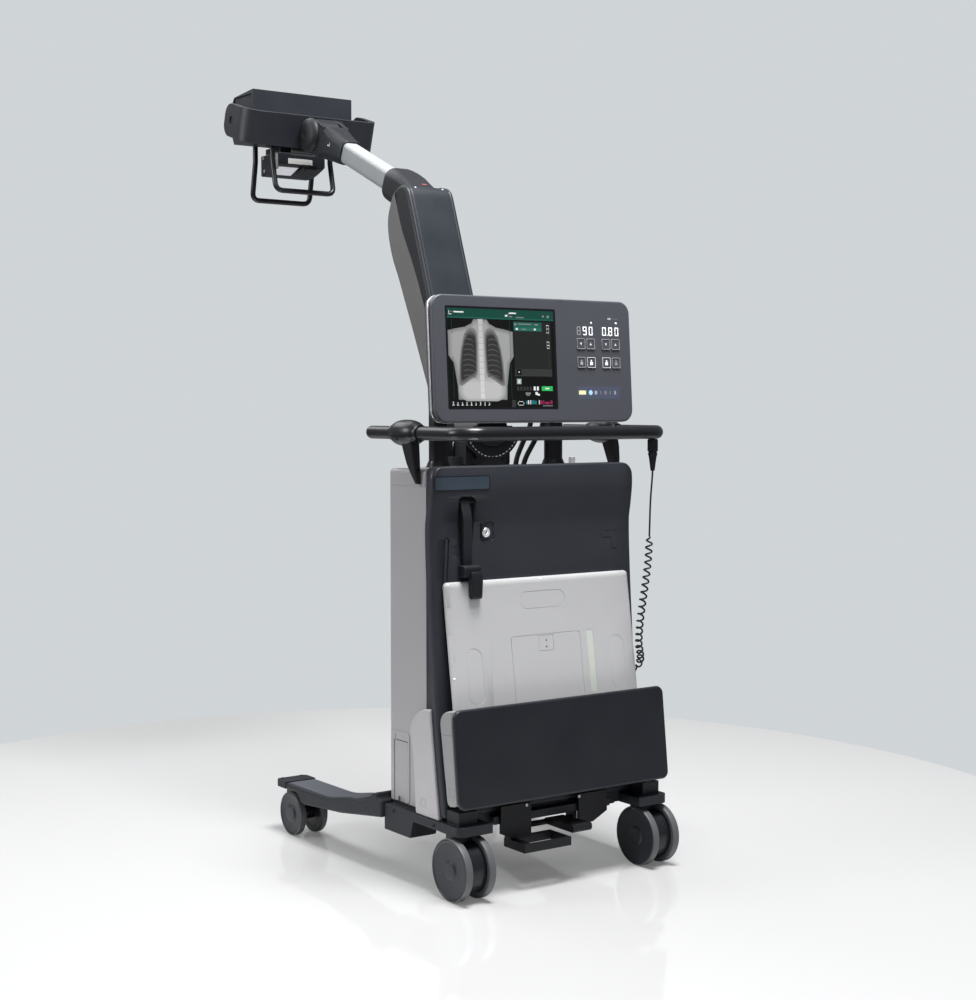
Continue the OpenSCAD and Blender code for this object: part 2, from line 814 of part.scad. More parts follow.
module tube_along(path, d, sides) {
    n = len(path);
    dirs = [for (i = [0:n - 1])
        let (a = path[max(i - 1, 0)], b = path[min(i + 1, n - 1)], v = b - a) v / norm(v)];
    rings = [for (i = [0:n - 1])
        let (t = dirs[i], ref = abs(t[0]) < 0.9 ? [1, 0, 0] : [0, 1, 0],
            u = cross(t, ref) / norm(cross(t, ref)), w = cross(t, u))
            for (k = [0:sides - 1]) path[i] + d / 2 * (cos(360 * k / sides) * u + sin(360 * k / sides) * w)];
    faces = concat(
        [[for (k = [0:sides - 1]) sides - 1 - k]],
        [[for (k = [0:sides - 1]) (n - 1) * sides + k]],
        [for (i = [0:n - 2], k = [0:sides - 1])
            [i * sides + k, i * sides + (k + 1) % sides, (i + 1) * sides + (k + 1) % sides, (i + 1) * sides + k]]
    );
    polyhedron(points = rings, faces = faces, convexity = 4);
}

module switch_cord() {
    color([0.1, 0.1, 0.11])
        for (path = [lead_path, tail_path])
            tube_along(path, lead_d, 8);
}

module switch_coil() {
    color([0.1, 0.1, 0.11])
        tube_along(coil_path, coil_d, 12);
}

// Monitor on two posts

monitor_y = 72; // rear face of the monitor at its lower edge

module in_monitor() {
    translate([0, monitor_y, monitor_z])
        rotate([-monitor_lean, 0, 0])
            children();
}

bezel_t = 12; // front plate of the case
hump_t = 14; // how far the back housing stands out behind the edge

// A flat slab of the case, from one depth behind its face to another
module case_slab(inset, from, to, r) {
    translate([0, 0, monitor_h / 2])
        rotate([90, 0, 0])
            translate([0, 0, -to])
                linear_extrude(to - from)
                    plain_round_rect(monitor_w - 2 * inset, monitor_h - 2 * inset, r);
}

module monitor_case() {
    color([0.36, 0.36, 0.39])
        in_monitor()
            difference() {
                union() {
                    case_slab(0, 0, bezel_t, 26);
                    case_slab(3, bezel_t - 1, bezel_t + 3, 23);
                    case_slab(0, bezel_t + 2, monitor_t - 5, 26);
                    case_slab(4, monitor_t - 6, monitor_t, 22);
                    case_slab(42, monitor_t - 1, monitor_t + hump_t, 20);
                }
                translate([glass_x - glass_w / 2 - seat_gap, -1, glass_z - seat_gap])
                    cube([glass_w + 2 * seat_gap, 3.5, glass_h + 2 * seat_gap]);
            }
}

glass_w = 274;
glass_h = 206;
glass_x = -85;
glass_z = 27;

module screen_glass() {
    color([0.05, 0.06, 0.08])
        in_monitor()
            translate([glass_x - glass_w / 2, 0.2, glass_z])
                cube([glass_w, 2, glass_h]);
}

// Columns of keys right of the screen, as x places and heights
key_x = [117, 143, 184, 210];
key_z = [114, 153];
key_s = 21;

module control_keys() {
    color([0.12, 0.12, 0.14])
        in_monitor()
            for (x = key_x, z = key_z)
                translate([x - key_s / 2, -1 - seat_gap, z])
                    cube([key_s, 1, key_s]);
}

post_y = 220;
yoke_z = monitor_z + 44; // underside of the beam that joins the posts

module monitor_posts() {
    back = monitor_t + hump_t + seat_gap;
    color([0.13, 0.13, 0.15])
        union() {
            mirrored()
                translate([post_x, post_y, lid_top + seat_gap])
                    union() {
                        cylinder(d = post_d, h = yoke_z + 30 - lid_top);
                        cylinder(d1 = post_d + 12, d2 = post_d, h = 14);
                    }
            translate([-post_x, post_y - 13, yoke_z])
                cube([2 * post_x, 26, 40]);
            // arms forward to the plate on the monitor's back
            mirrored()
                translate([post_x - 15, monitor_y + back + 12, yoke_z + 2])
                    cube([30, post_y - monitor_y - back - 12, 34]);
            in_monitor()
                translate([-post_x - 25, back, yoke_z - monitor_z - 8])
                    cube([2 * post_x + 50, 16, 56]);
        }
}

module monitor_cables() {
    color([0.08, 0.08, 0.09])
        for (x = [10, 34])
            tube_along([[x, 168, lid_top + seat_gap], [x, 168, 868], [x + 4, 165, 896],
                [x + 14, 158, 926], [x + 22, 152, yoke_z - 8.5]], 11, 10);
}

// Turret that swivels on the mast and holds the boom's lower pivot

cheek_t = 15;
cheek_x = boom_w / 2 + run_gap;
turret_h = 18;

module turret() {
    base_z = lid_top + run_gap;
    color([0.12, 0.12, 0.14])
        union() {
            translate([0, mast_y, base_z])
                cylinder(d = mast_d, h = turret_h);
            translate([0, mast_y, lid_top - spigot_h + run_gap])
                cylinder(d = spigot_d, h = spigot_h + 1);
            mirrored()
                yz_slab(cheek_x, cheek_x + cheek_t)
                    polygon([[mast_y - 22, base_z + turret_h - 1], [mast_y + 36, base_z + turret_h - 1],
                        [boom_pivot[0] + 36, boom_pivot[1]], [boom_pivot[0] - 32, boom_pivot[1]]]);
            mirrored()
                x_rod(68, cheek_x, cheek_x + cheek_t, boom_pivot);
            mirrored()
                x_rod(pin_d, boom_w / 2 - 20, cheek_x + 2, boom_pivot);
            // rear plate with the round tilt scale
            translate([0, mast_y - 74, base_z + turret_h + 36])
                rotate([90, 0, 0])
                    cylinder(d = 100, h = 8);
            translate([-40, mast_y - 82, base_z + turret_h - 6])
                cube([80, 8, 40]);
        }
}

module in_boom() {
    translate([0, boom_pivot[0], boom_pivot[1]])
        rotate([-boom_lean, 0, 0])
            children();
}

boom_back = 34; // rear face behind the line of the pivots
boom_top = boom_len + 30;

// Side view of the boom as [forward, along] points
boom_outline = [
    [-28, -20], [0, -34], [24, -22], [31, 0], [56, boom_len - 289], [64, boom_len - 221],
    [71, boom_len - 155], [78, boom_len - 120], [80, boom_len - 81], [77, boom_len - 47],
    [67, boom_len - 17], [48, boom_len + 8], [16, boom_top], [-12, boom_top],
    [-26, boom_top - 7], [-boom_back, boom_top - 21], [-boom_back, 0]
];
// Line where the dark rear cover meets the grey spine
cover_line = [
    [18, boom_top + 10], [17, boom_len - 62], [9, boom_len - 110], [1, boom_len - 157],
    [-12, boom_len - 255], [-24, 180], [-boom_back - 5, 90]
];

module elbow_slot() {
    slot = root_w + 2 * run_gap;
    yz_slab(-slot / 2, slot / 2)
        polygon([[-46, boom_len - 46], [40, boom_len - 120], [120, boom_len - 160], [140, boom_len + 100],
            [-46, boom_len + 100]]);
}

module boom_slab() {
    yz_slab(-boom_w / 2, boom_w / 2)
        polygon(boom_outline);
}

module boom_cover_zone() {
    yz_slab(-boom_w, boom_w)
        polygon(concat(cover_line, [[-100, 90], [-100, boom_top + 10]]));
}

module boom_spine() {
    color([0.42, 0.42, 0.43])
        in_boom()
            difference() {
                boom_slab();
                boom_cover_zone();
                elbow_slot();
                x_rod(pin_d + 2 * fit_gap, -boom_w, boom_w, [0, 0]);
            }
}

module boom_cover() {
    color([0.24, 0.26, 0.29])
        in_boom()
            difference() {
                intersection() {
                    boom_slab();
                    boom_cover_zone();
                }
                elbow_slot();
                x_rod(pin_d + 2 * fit_gap, -boom_w, boom_w, [0, boom_len]);
            }
}

module in_arm() {
    translate([0, elbow[0], elbow[1]])
        rotate([arm_rise, 0, 0])
            children();
}

root_r = 43;
socket = 30; // how deep the light tube sits in the root

neck = 60; // from the wrist's axis back to the sleeve's solid end
sleeve_len = 78;
sleeve_bore = 68;
cheek_in = 26; // inner face of the sleeve's cheeks
hub_r = 44;
sleeve_y = arm_len - neck - sleeve_len;

module light_tube(y0, y1, grow) {
    translate([0, y0, 0])
        rotate([-90, 0, 0])
            linear_extrude(y1 - y0)
                plain_round_rect(tube_w + 2 * grow, tube_h + 2 * grow, 12);
}

module arm_root() {
    end_h = tube_h / 2 + 3;
    color([0.16, 0.17, 0.19])
        in_arm()
            difference() {
                union() {
                    x_rod(2 * root_r, -root_w / 2, root_w / 2, [0, 0]);
                    yz_slab(-root_w / 2, root_w / 2)
                        polygon([[0, root_r], [0.4 * root_len, root_r - 5], [0.7 * root_len, root_r - 10],
                            [0.75 * root_len, -end_h - 3], [0.4 * root_len, -root_r + 4], [0, -root_r]]);
                    yz_slab(-root_w / 2 + 10, root_w / 2 - 10)
                        polygon([[0.5 * root_len, root_r - 7], [0.8 * root_len, end_h + 4], [root_len - 6, end_h],
                            [root_len, end_h - 6], [root_len, -end_h + 6], [root_len - 6, -end_h],
                            [0.5 * root_len, -root_r + 6]]);
                    x_rod(pin_d, -boom_w / 2 + 8, boom_w / 2 - 8, [0, 0]);
                }
                light_tube(root_len - socket, root_len + 1, fit_gap);
            }
}

module arm_tube() {
    color([0.6, 0.62, 0.64])
        in_arm()
            light_tube(root_len - socket + seat_gap, sleeve_y + sleeve_bore - seat_gap, 0);
}

module arm_sleeve() {
    color([0.12, 0.12, 0.14])
        in_arm()
            difference() {
                union() {
                    translate([0, sleeve_y, 0])
                        rotate([-90, 0, 0])
                            linear_extrude(sleeve_len + 6)
                                plain_round_rect(72, 80, 16);
                    mirrored()
                        yz_slab(cheek_in, cheek_in + 10)
                            polygon([[arm_len - neck, -36], [arm_len, -hub_r + 2], [arm_len, hub_r - 2],
                                [arm_len - neck, 36]]);
                    mirrored()
                        x_rod(2 * hub_r, cheek_in, cheek_in + 10, [arm_len, 0]);
                }
                light_tube(sleeve_y - 1, sleeve_y + sleeve_bore, fit_gap);
                x_rod(2 * hub_r - 2, -cheek_in, cheek_in, [arm_len, 0]);
                x_rod(pin_d + 2 * fit_gap, -100, 100, [arm_len, 0]);
            }
}

module in_yoke() {
    translate([0, wrist[0], wrist[1]])
        rotate([yoke_pitch, 0, 0])
            children();
}

module wrist_hub() {
    color([0.13, 0.13, 0.15])
        in_yoke()
            union() {
                x_rod(2 * hub_r - 8, -cheek_in + run_gap, cheek_in - run_gap, [0, 0]);
                x_rod(pin_d, -cheek_in - 10, cheek_in + 10, [0, 0]);
                rotate([-90, 0, 0])
                    cylinder(d = 50, h = yoke_gap - 1);
                rotate([-90, 0, 0])
                    cylinder(d = pin_d, h = yoke_gap + yoke_t - 2);
            }
}

yoke_end = 168; // forward end of the yoke's arms from the wrist
yoke_nose = 30; // radius at their upper and lower corners

module yoke() {
    r = 48;
    color([0.16, 0.17, 0.19])
        in_yoke()
            difference() {
                translate([0, 0, -yoke_h / 2])
                    linear_extrude(yoke_h)
                        difference() {
                            translate([0, yoke_gap + r])
                                union() {
                                    for (s = [-1, 1])
                                        translate([s * (yoke_w / 2 - r), 0])
                                            circle(r);
                                    translate([-yoke_w / 2 + r, -r])
                                        square([yoke_w - 2 * r, r]);
                                    translate([-yoke_w / 2, 0])
                                        square([yoke_w, yoke_end - yoke_gap - r]);
                                }
                            translate([0, yoke_gap + r])
                                union() {
                                    for (s = [-1, 1])
                                        translate([s * (yoke_w / 2 - r), 0])
                                            circle(r - yoke_t);
                                    translate([-yoke_w / 2 + r, -r + yoke_t])
                                        square([yoke_w - 2 * r, r]);
                                    translate([-yoke_w / 2 + yoke_t, 0])
                                        square([yoke_w - 2 * yoke_t, yoke_end]);
                                }
                        }
                rotate([-90, 0, 0])
                    cylinder(d = pin_d + 2 * fit_gap, h = yoke_gap + yoke_t + 10);
                x_rod(pin_d + 2 * fit_gap, -300, 300, [head_reach, 0]);
                // rounds off the front ends of the arms
                for (k = [-1, 1])
                    yz_slab(-yoke_w, yoke_w)
                        difference() {
                            translate([yoke_end - yoke_nose, k * (yoke_h / 2 - yoke_nose / 2 + 0.5)])
                                square([2 * yoke_nose + 2, yoke_nose + 1], center = true);
                            translate([yoke_end - yoke_nose, k * (yoke_h / 2 - yoke_nose)])
                                circle(yoke_nose);
                            translate([yoke_end - 2.5 * yoke_nose, -yoke_h])
                                square([1.5 * yoke_nose, 2 * yoke_h]);
                        }
            }
}

// Tube head: hangs level at rest, whatever the yoke's pitch

module in_head() {
    translate([0, head_pivot[0], head_pivot[1]])
        children();
}

module tube_housing() {
    color([0.2, 0.21, 0.24])
        in_head()
            union() {
                yz_slab(-head_w / 2, head_w / 2)
                    polygon([[-head_back, -head_down], [head_d - head_back - 8, -head_down + 8],
                        [head_d - head_back, -head_down + 24], [head_d - head_back, head_h - head_down - 20],
                        [head_d - head_back - 10, head_h - head_down - 8], [-head_back, head_h - head_down]]);
                mirrored()
                    x_rod(50, head_w / 2 - 1, yoke_w / 2 - yoke_t - run_gap, [0, 0]);
                mirrored()
                    x_rod(pin_d, head_w / 2 - 1, yoke_w / 2 - 3, [0, 0]);
                translate([0, collimator_y, -head_down - collimator_neck])
                    cylinder(d = 80, h = collimator_neck + 10);
            }
}

collimator_d = 96;
collimator_h = 52;
collimator_y = 28;
collimator_neck = 14; // length of the round neck under the housing
collimator_top = -head_down - collimator_neck - seat_gap;

module collimator() {
    color([0.15, 0.15, 0.17])
        in_head()
            translate([-collimator_w / 2, collimator_y - collimator_d / 2, collimator_top - collimator_h])
                cube([collimator_w, collimator_d, collimator_h]);
}

grab_x = 82; // half the width of a grab handle
grab_bend = 20;

module grab_handles() {
    color([0.1, 0.1, 0.12])
        in_head()
            for (row = grab_rows)
                tube_along([
                    [-grab_x, row[0], row[3]], [-grab_x, row[0], -head_down - 30],
                    [-grab_x, row[1], row[2] + grab_bend], [-grab_x + 6, row[1], row[2] + 6],
                    [-grab_x + grab_bend, row[1], row[2]], [grab_x - grab_bend, row[1], row[2]],
                    [grab_x - 6, row[1], row[2] + 6], [grab_x, row[1], row[2] + grab_bend],
                    [grab_x, row[0], -head_down - 30], [grab_x, row[0], row[3]]
                ], grab_d, 12);
}

machine() base_frame();
machine() front_legs();
machine() leg_tips();
machine() rear_feet();
machine() brake_pedal();
machine() pedal_bracket();
machine() fork_rear_left();
machine() fork_rear_right();
machine() fork_front_left();
machine() fork_front_right();
machine() wheels_rear_left();
machine() wheels_rear_right();
machine() wheels_front_left();
machine() wheels_front_right();
machine() body_cover();
machine() mast_housing();
machine() power_pack();
machine() lower_covers();
machine() top_lid();
machine() access_door();
machine() rear_shell();
machine() bin_trough();
machine() bin_cover();
machine() bin_caps();
machine() detector();
machine() detector_clamp();
machine() key_lock();
machine() handle_loop();
machine() bar_grips();
machine() handle_struts();
machine() hand_switch();
machine() switch_cord();
machine() switch_coil();
machine() monitor_case();
machine() screen_glass();
machine() control_keys();
machine() monitor_posts();
machine() monitor_cables();
machine() turret();
machine() boom_spine();
machine() boom_cover();
machine() arm_root();
machine() arm_tube();
machine() arm_sleeve();
machine() wrist_hub();
machine() yoke();
machine() tube_housing();
machine() collimator();
machine() grab_handles();
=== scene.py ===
"""Looks of the portable x-ray machine: a slim body on four twin-wheel casters, with a
detector bin, a screen at the push handle, and a folding arm that carries the tube head."""
import json
import math

import bmesh
import bpy
from mathutils import Matrix, Vector
from mathutils.bvhtree import BVHTree


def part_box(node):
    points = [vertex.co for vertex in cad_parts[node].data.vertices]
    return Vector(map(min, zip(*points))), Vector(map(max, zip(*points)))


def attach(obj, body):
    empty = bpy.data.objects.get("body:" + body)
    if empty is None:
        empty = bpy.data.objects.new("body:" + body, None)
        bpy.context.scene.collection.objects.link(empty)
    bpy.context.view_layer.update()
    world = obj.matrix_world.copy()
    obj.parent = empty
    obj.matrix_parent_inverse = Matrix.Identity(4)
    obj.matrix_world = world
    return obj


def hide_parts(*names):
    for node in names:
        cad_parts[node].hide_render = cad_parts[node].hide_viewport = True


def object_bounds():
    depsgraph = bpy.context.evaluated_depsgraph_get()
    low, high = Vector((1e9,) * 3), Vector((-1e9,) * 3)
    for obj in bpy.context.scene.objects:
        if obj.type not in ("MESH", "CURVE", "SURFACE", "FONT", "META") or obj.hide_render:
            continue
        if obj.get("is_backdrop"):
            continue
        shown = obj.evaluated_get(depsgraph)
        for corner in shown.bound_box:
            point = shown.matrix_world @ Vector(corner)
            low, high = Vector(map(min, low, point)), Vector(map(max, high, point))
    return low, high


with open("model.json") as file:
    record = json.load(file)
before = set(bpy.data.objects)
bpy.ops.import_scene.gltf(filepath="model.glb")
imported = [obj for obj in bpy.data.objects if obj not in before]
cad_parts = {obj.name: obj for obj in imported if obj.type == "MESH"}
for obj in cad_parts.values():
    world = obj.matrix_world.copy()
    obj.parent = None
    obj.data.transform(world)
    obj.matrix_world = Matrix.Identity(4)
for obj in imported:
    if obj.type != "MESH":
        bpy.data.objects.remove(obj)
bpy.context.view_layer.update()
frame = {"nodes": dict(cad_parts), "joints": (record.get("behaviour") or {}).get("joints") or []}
scene = bpy.context.scene
joint_at = {j["name"]: Vector(j["pos_m"]) for j in frame["joints"]}
axle_y = joint_at["roll_rear_left"].y

# Camera: stands behind the machine on the operator's left, at chest height, and
# looks a few degrees down. Its place is given from the rear axle line.


def placed(name, data):
    """A new object in the scene, at the origin."""
    obj = bpy.data.objects.new(name, data)
    scene.collection.objects.link(obj)
    return obj


camera = placed("camera", bpy.data.cameras.new("camera"))
camera.location = (-2.1175, -2.7466 + axle_y, 0.9744)
camera.rotation_euler = (math.radians(90 - 3.1927), 0, math.radians(-35.2137))
camera.data.lens = 61.65
camera.data.sensor_width = 36
scene.camera = camera

# Studio: a round white floor with a soft gloss, a plain pale surround, a large soft lamp
# overhead, a weak one behind the camera, one beyond the machine and one at its left.

scene.view_settings.view_transform = "Standard"


def filled(tree, target, inputs):
    """Sets a node's inputs, each to a value or to another node's output."""
    for key, value in inputs.items():
        if isinstance(value, bpy.types.NodeSocket):
            tree.links.new(value, target.inputs[key])
        else:
            target.inputs[key].default_value = value
    return target


def node(tree, kind, inputs=None, **settings):
    made = tree.nodes.new(kind)
    for key, value in settings.items():
        setattr(made, key, value)
    return filled(tree, made, inputs or {})


scene.world = bpy.data.worlds.new("studio")
scene.world.use_nodes = True
sky = scene.world.node_tree
surround = filled(sky, sky.nodes["Background"], {"Color": (0.87, 0.885, 0.9, 1), "Strength": 0.24})
backdrop = node(sky, "ShaderNodeBackground", {"Color": (0.63, 0.66, 0.68, 1)})
ray = node(sky, "ShaderNodeLightPath").outputs
seen = node(sky, "ShaderNodeMath", {0: ray["Is Camera Ray"], 1: ray["Is Transmission Ray"]}, operation="MAXIMUM")
either = node(sky, "ShaderNodeMixShader", {0: seen.outputs[0], 1: surround.outputs[0], 2: backdrop.outputs[0]})
filled(sky, sky.nodes["World Output"], {"Surface": either.outputs[0]})
for name, size, power, place, aim in (
        ("overhead", 1.5, 290, (0.0, -1.2, 4.15), (0, -0.1, 0.5)),
        ("high_window", 1.2, 16, (-1.2, -3.3, 3.0), (0, 0, 0.7)),
        ("beyond", 2.6, 50, (-0.6, 2.0, 3.2), (0, 0, 0.3)),
        ("left_side", 1.6, 58, (-3.2, 1.1, 2.2), (0, 0, 0.8))):
    lamp = placed(name, bpy.data.lights.new(name, "AREA"))
    lamp.data.shape = "DISK"
    lamp.data.size = size
    lamp.data.energy = power
    lamp.location = place
    lamp.rotation_euler = (Vector(aim) - Vector(place)).to_track_quat("-Z", "Y").to_euler()

floor_paint = bpy.data.materials.new("floor_paint")
floor_paint.use_nodes = True
tree = floor_paint.node_tree
paint = filled(tree, tree.nodes["Principled BSDF"], {
    "Base Color": (0.62, 0.62, 0.625, 1), "Roughness": 0.07, "Specular IOR Level": 0.7})
gloss_coat = node(tree, "ShaderNodeBsdfGlossy", {"Color": (1, 1, 1, 1), "Roughness": 0.06})
coated = node(tree, "ShaderNodeMixShader", {0: 0.24, 1: paint.outputs[0], 2: gloss_coat.outputs[0]})
white = node(tree, "ShaderNodeEmission", {"Color": (1, 1, 1, 1), "Strength": 0.12})
both = node(tree, "ShaderNodeAddShader", {0: coated.outputs[0], 1: white.outputs[0]})
direct = node(tree, "ShaderNodeLightPath").outputs["Is Camera Ray"]
lit = node(tree, "ShaderNodeMixShader", {0: direct, 1: coated.outputs[0], 2: both.outputs[0]})
filled(tree, tree.nodes["Material Output"], {"Surface": lit.outputs[0]})


def polar(r, degrees, x=0, z=0):
    """A point at a distance and an angle from a centre."""
    return x + r * math.cos(math.radians(degrees)), z + r * math.sin(math.radians(degrees))


disc = bpy.data.meshes.new("studio_floor")
disc.from_pydata([(*polar(1.55, 2 * k), 0) for k in range(180)], [], [list(range(180))])
disc.materials.append(floor_paint)
placed("studio_floor", disc)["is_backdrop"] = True

# Hand-switch lead: a thin rubber cord that leaves a gland low on the right side, winds
# up the machine as a stretched coil and ends straight in the switch under the handle.

drawn = Matrix.Translation((0, axle_y, 0)) @ Matrix.Scale(0.001, 4)  # millimetres from the rear axle line


def finish(name, colour, rough, metal=0.0, grain=0.0009, relief=0.12, cloud=0.05, cloud_size=0.09, spread=0.05,
           specular=0.4, glow=None):
    """A moulded or painted finish: fine grain in relief, with faint clouding of the colour and of the gloss."""
    mat = bpy.data.materials.new(name)
    mat.use_nodes = True
    tree = mat.node_tree
    place = node(tree, "ShaderNodeTexCoord").outputs["Object"]
    clouds = node(tree, "ShaderNodeTexNoise", {"Vector": place, "Scale": 1 / cloud_size, "Detail": 4}).outputs["Fac"]
    fine = node(tree, "ShaderNodeTexNoise", {"Vector": place, "Scale": 1 / grain, "Detail": 2}).outputs["Fac"]
    low, high = ([min(c * factor, 1) for c in colour] for factor in (1 - cloud, 1 + cloud))
    tint = node(tree, "ShaderNodeMix", {0: clouds, 6: (*low, 1), 7: (*high, 1)}, data_type="RGBA")
    gloss = node(tree, "ShaderNodeMapRange", {"Value": clouds, "From Min": 0.3, "From Max": 0.7,
                                              "To Min": rough - spread, "To Max": rough + spread})
    raised = node(tree, "ShaderNodeBump", {"Height": fine, "Strength": relief, "Distance": grain / 4})
    shader = filled(tree, tree.nodes["Principled BSDF"], {
        "Base Color": tint.outputs[2], "Roughness": gloss.outputs["Result"], "Normal": raised.outputs["Normal"],
        "Metallic": metal, "Specular IOR Level": specular})
    if glow:
        filled(tree, shader, {"Emission Color": (*glow[:3], 1), "Emission Strength": glow[3]})
    return mat


def fixed(obj, body, slot, *nodes):
    """The piece rides on that body and stands for those CAD nodes; the slot is not used."""
    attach(obj, body)
    if nodes:
        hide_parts(*nodes)
    return obj


lead_d = 4
coil_d = 17
lead_route = [(230, -18, 836), (229, -18, 820), (226, -18, 790), (224, -18, 760), (223, -18, 730), (222, -18, 700)]
coil_route = [(222, -18, 699.7), (220, -17, 649), (217, -12, 600), (217, -4, 563), (223, 12, 513), (237, 32, 467),
              (252, 45, 443), (265, 60, 425), (272, 80, 405)]
tail_route = [(272, 80.3, 404.8), (279, 95, 392), (282.8, 108, 382), (283.7, 120, 376), (280, 131, 374),
              (272, 137, 374), (264.3, 137, 374)]
pitch_low, pitch_high = 17.5, 15.5  # the coil's turns spread a little towards its foot


def smooth_route(points, step):
    """Evenly spaced points on a smooth curve through the given ones."""
    pts = [Vector(p) for p in points]
    pts = [2 * pts[0] - pts[1]] + pts + [2 * pts[-1] - pts[-2]]
    fine = []
    for i in range(1, len(pts) - 2):
        a, b, c, d = pts[i - 1:i + 3]
        for k in range(24):
            t = k / 24
            fine.append(0.5 * (2 * b + (c - a) * t + (2 * a - 5 * b + 4 * c - d) * t * t
                               + (3 * b - a - 3 * c + d) * t ** 3))
    fine.append(pts[-2])
    total = sum((q - p).length for p, q in zip(fine, fine[1:]))
    count = max(2, round(total / step))
    out, run, i = [fine[0]], 0.0, 0
    for k in range(1, count):
        goal = total * k / count
        while run + (fine[i + 1] - fine[i]).length < goal:
            run += (fine[i + 1] - fine[i]).length
            i += 1
        out.append(fine[i].lerp(fine[i + 1], (goal - run) / (fine[i + 1] - fine[i]).length))
    return out + [fine[-1]]


core = smooth_route(coil_route[::-1], 0.85)
core_length = sum((b - a).length for a, b in zip(core, core[1:]))
spread_ratio = pitch_high / pitch_low
turns = round(core_length / (pitch_high - pitch_low) * math.log(spread_ratio))
lead_points = smooth_route(tail_route[::-1], 8)[:-1]
side = Vector((1, 0, 0))
for i, p in enumerate(core):
    along = (core[min(i + 1, len(core) - 1)] - core[max(i - 1, 0)]).normalized()
    side = (side - along * side.dot(along)).normalized()
    share = i / (len(core) - 1)
    swell = min(1, i / 14, (len(core) - 1 - i) / 14)
    angle = math.tau * turns * math.log(1 + (spread_ratio - 1) * share) / math.log(spread_ratio)
    turn = side * math.cos(angle) + along.cross(side) * math.sin(angle)
    lead_points.append(p + turn * swell * (coil_d - lead_d) / 2)
lead_points += smooth_route(lead_route[::-1], 9)[1:]
lead_points = [drawn @ p for p in lead_points]


def cord_curve(name, paths, radius, steps):
    """Round strands along given points in metres, as one curve."""
    curve = bpy.data.curves.new(name, "CURVE")
    curve.dimensions = "3D"
    curve.bevel_depth = radius
    curve.bevel_resolution = steps
    curve.use_fill_caps = True
    for path in paths:
        strand = curve.splines.new("POLY")
        strand.points.add(len(path) - 1)
        for knot, p in zip(strand.points, path):
            knot.co = (*p, 1)
    return curve


lead_curve = cord_curve("switch_lead", [lead_points], lead_d / 2000, 2)
lead_rubber = finish("lead_rubber", (0.013, 0.013, 0.015), 0.42, grain=0.0004, relief=0.1)
lead_curve.materials.append(lead_rubber)
switch_lead = placed("switch_lead", lead_curve)
fixed(switch_lead, "chassis", "lead_black", "switch_cord", "switch_coil")

# Chassis: a welded steel frame low between the casters, in a dark fine-texture coat,
# with two hanging plates under its rear edge that are held by pale pan-head screws.


def mended(mesh, merge=2e-6, flat=0.0, outward=True):
    """Merges points that meet, joins faces that lie in one plane, and turns the faces outwards."""
    work = bmesh.new()
    work.from_mesh(mesh)
    if merge:
        bmesh.ops.remove_doubles(work, verts=work.verts, dist=merge)
    if flat:
        bmesh.ops.dissolve_limit(work, angle_limit=math.radians(flat), verts=work.verts, edges=work.edges)
    if outward:
        bmesh.ops.recalc_face_normals(work, faces=work.faces)
    work.to_mesh(mesh)
    work.free()
    return mesh


def new_piece(name, verts, faces, material, merge=True):
    mesh = bpy.data.meshes.new(name)
    mesh.from_pydata([tuple(v) for v in verts], [], faces)
    mesh.materials.append(material)
    return placed(name, mended(mesh, 2e-6 * merge))


def frozen(obj):
    """Turns a piece with live modifiers into a plain mesh."""
    graph = bpy.context.evaluated_depsgraph_get()
    mesh = bpy.data.meshes.new_from_object(obj.evaluated_get(graph), preserve_all_data_layers=True, depsgraph=graph)
    old = obj.data
    obj.modifiers.clear()
    obj.data = mesh
    bpy.data.meshes.remove(old)
    return obj


def eased(obj, width, segments=3):
    """Rounds the sharp edges, evens out the shading and freezes the result as a plain mesh."""
    if width:
        edge = obj.modifiers.new("edges", "BEVEL")
        edge.width = width / 1000
        edge.segments = segments
        edge.limit_method = "ANGLE"
        edge.angle_limit = math.radians(30)
        edge.miter_outer = "MITER_ARC"
    shade = obj.modifiers.new("shade", "WEIGHTED_NORMAL")
    shade.mode = "FACE_AREA"
    shade.keep_sharp = True
    for face in obj.data.polygons:
        face.use_smooth = True
    obj.data.set_sharp_from_angle(angle=math.radians(70 if width else 40))
    if width and "sharp_edge" in obj.data.attributes:
        obj.data.attributes.remove(obj.data.attributes["sharp_edge"])
    return frozen(obj)


def from_cad(name, node_name, material, width, segments=3):
    """A copy of a CAD node's mesh, merged into clean faces, with its edges rounded."""
    mesh = frame["nodes"][node_name].data.copy()
    mesh.materials.clear()
    mesh.materials.append(material)
    return eased(placed(name, mended(mesh, 1e-5, 0.6, False)), width, segments)


def dressed(name, node_name, material, width, slot, body="chassis", segments=3):
    """The same, set on its body in place of that CAD node."""
    return fixed(from_cad(name, node_name, material, width, segments), body, slot, node_name)


def slab(outline, low, high, axis="Y"):
    """A flat outline given thickness along one axis, as points and faces."""
    order = {"X": (2, 0, 1), "Y": (0, 2, 1), "Z": (0, 1, 2)}[axis]
    n = len(outline)
    points = [tuple((*p, depth)[k] for k in order) for depth in (low, high) for p in outline]
    faces = [list(range(n)), list(range(n, 2 * n))]
    return points, faces + [[i, (i + 1) % n, n + (i + 1) % n, n + i] for i in range(n)]


def block(x0, x1, low, high, z0, z1, axis="Y"):
    return slab([(x0, z0), (x1, z0), (x1, z1), (x0, z1)], low, high, axis)


def rounded(w, h, r, x=0, z=0, steps=5):
    """Outline of a rectangle with round corners about its centre."""
    return [polar(r, 90 * (q + k / steps), x + i * (w / 2 - r), z + j * (h / 2 - r))
            for q, (i, j) in enumerate(((1, 1), (-1, 1), (-1, -1), (1, -1))) for k in range(steps + 1)]


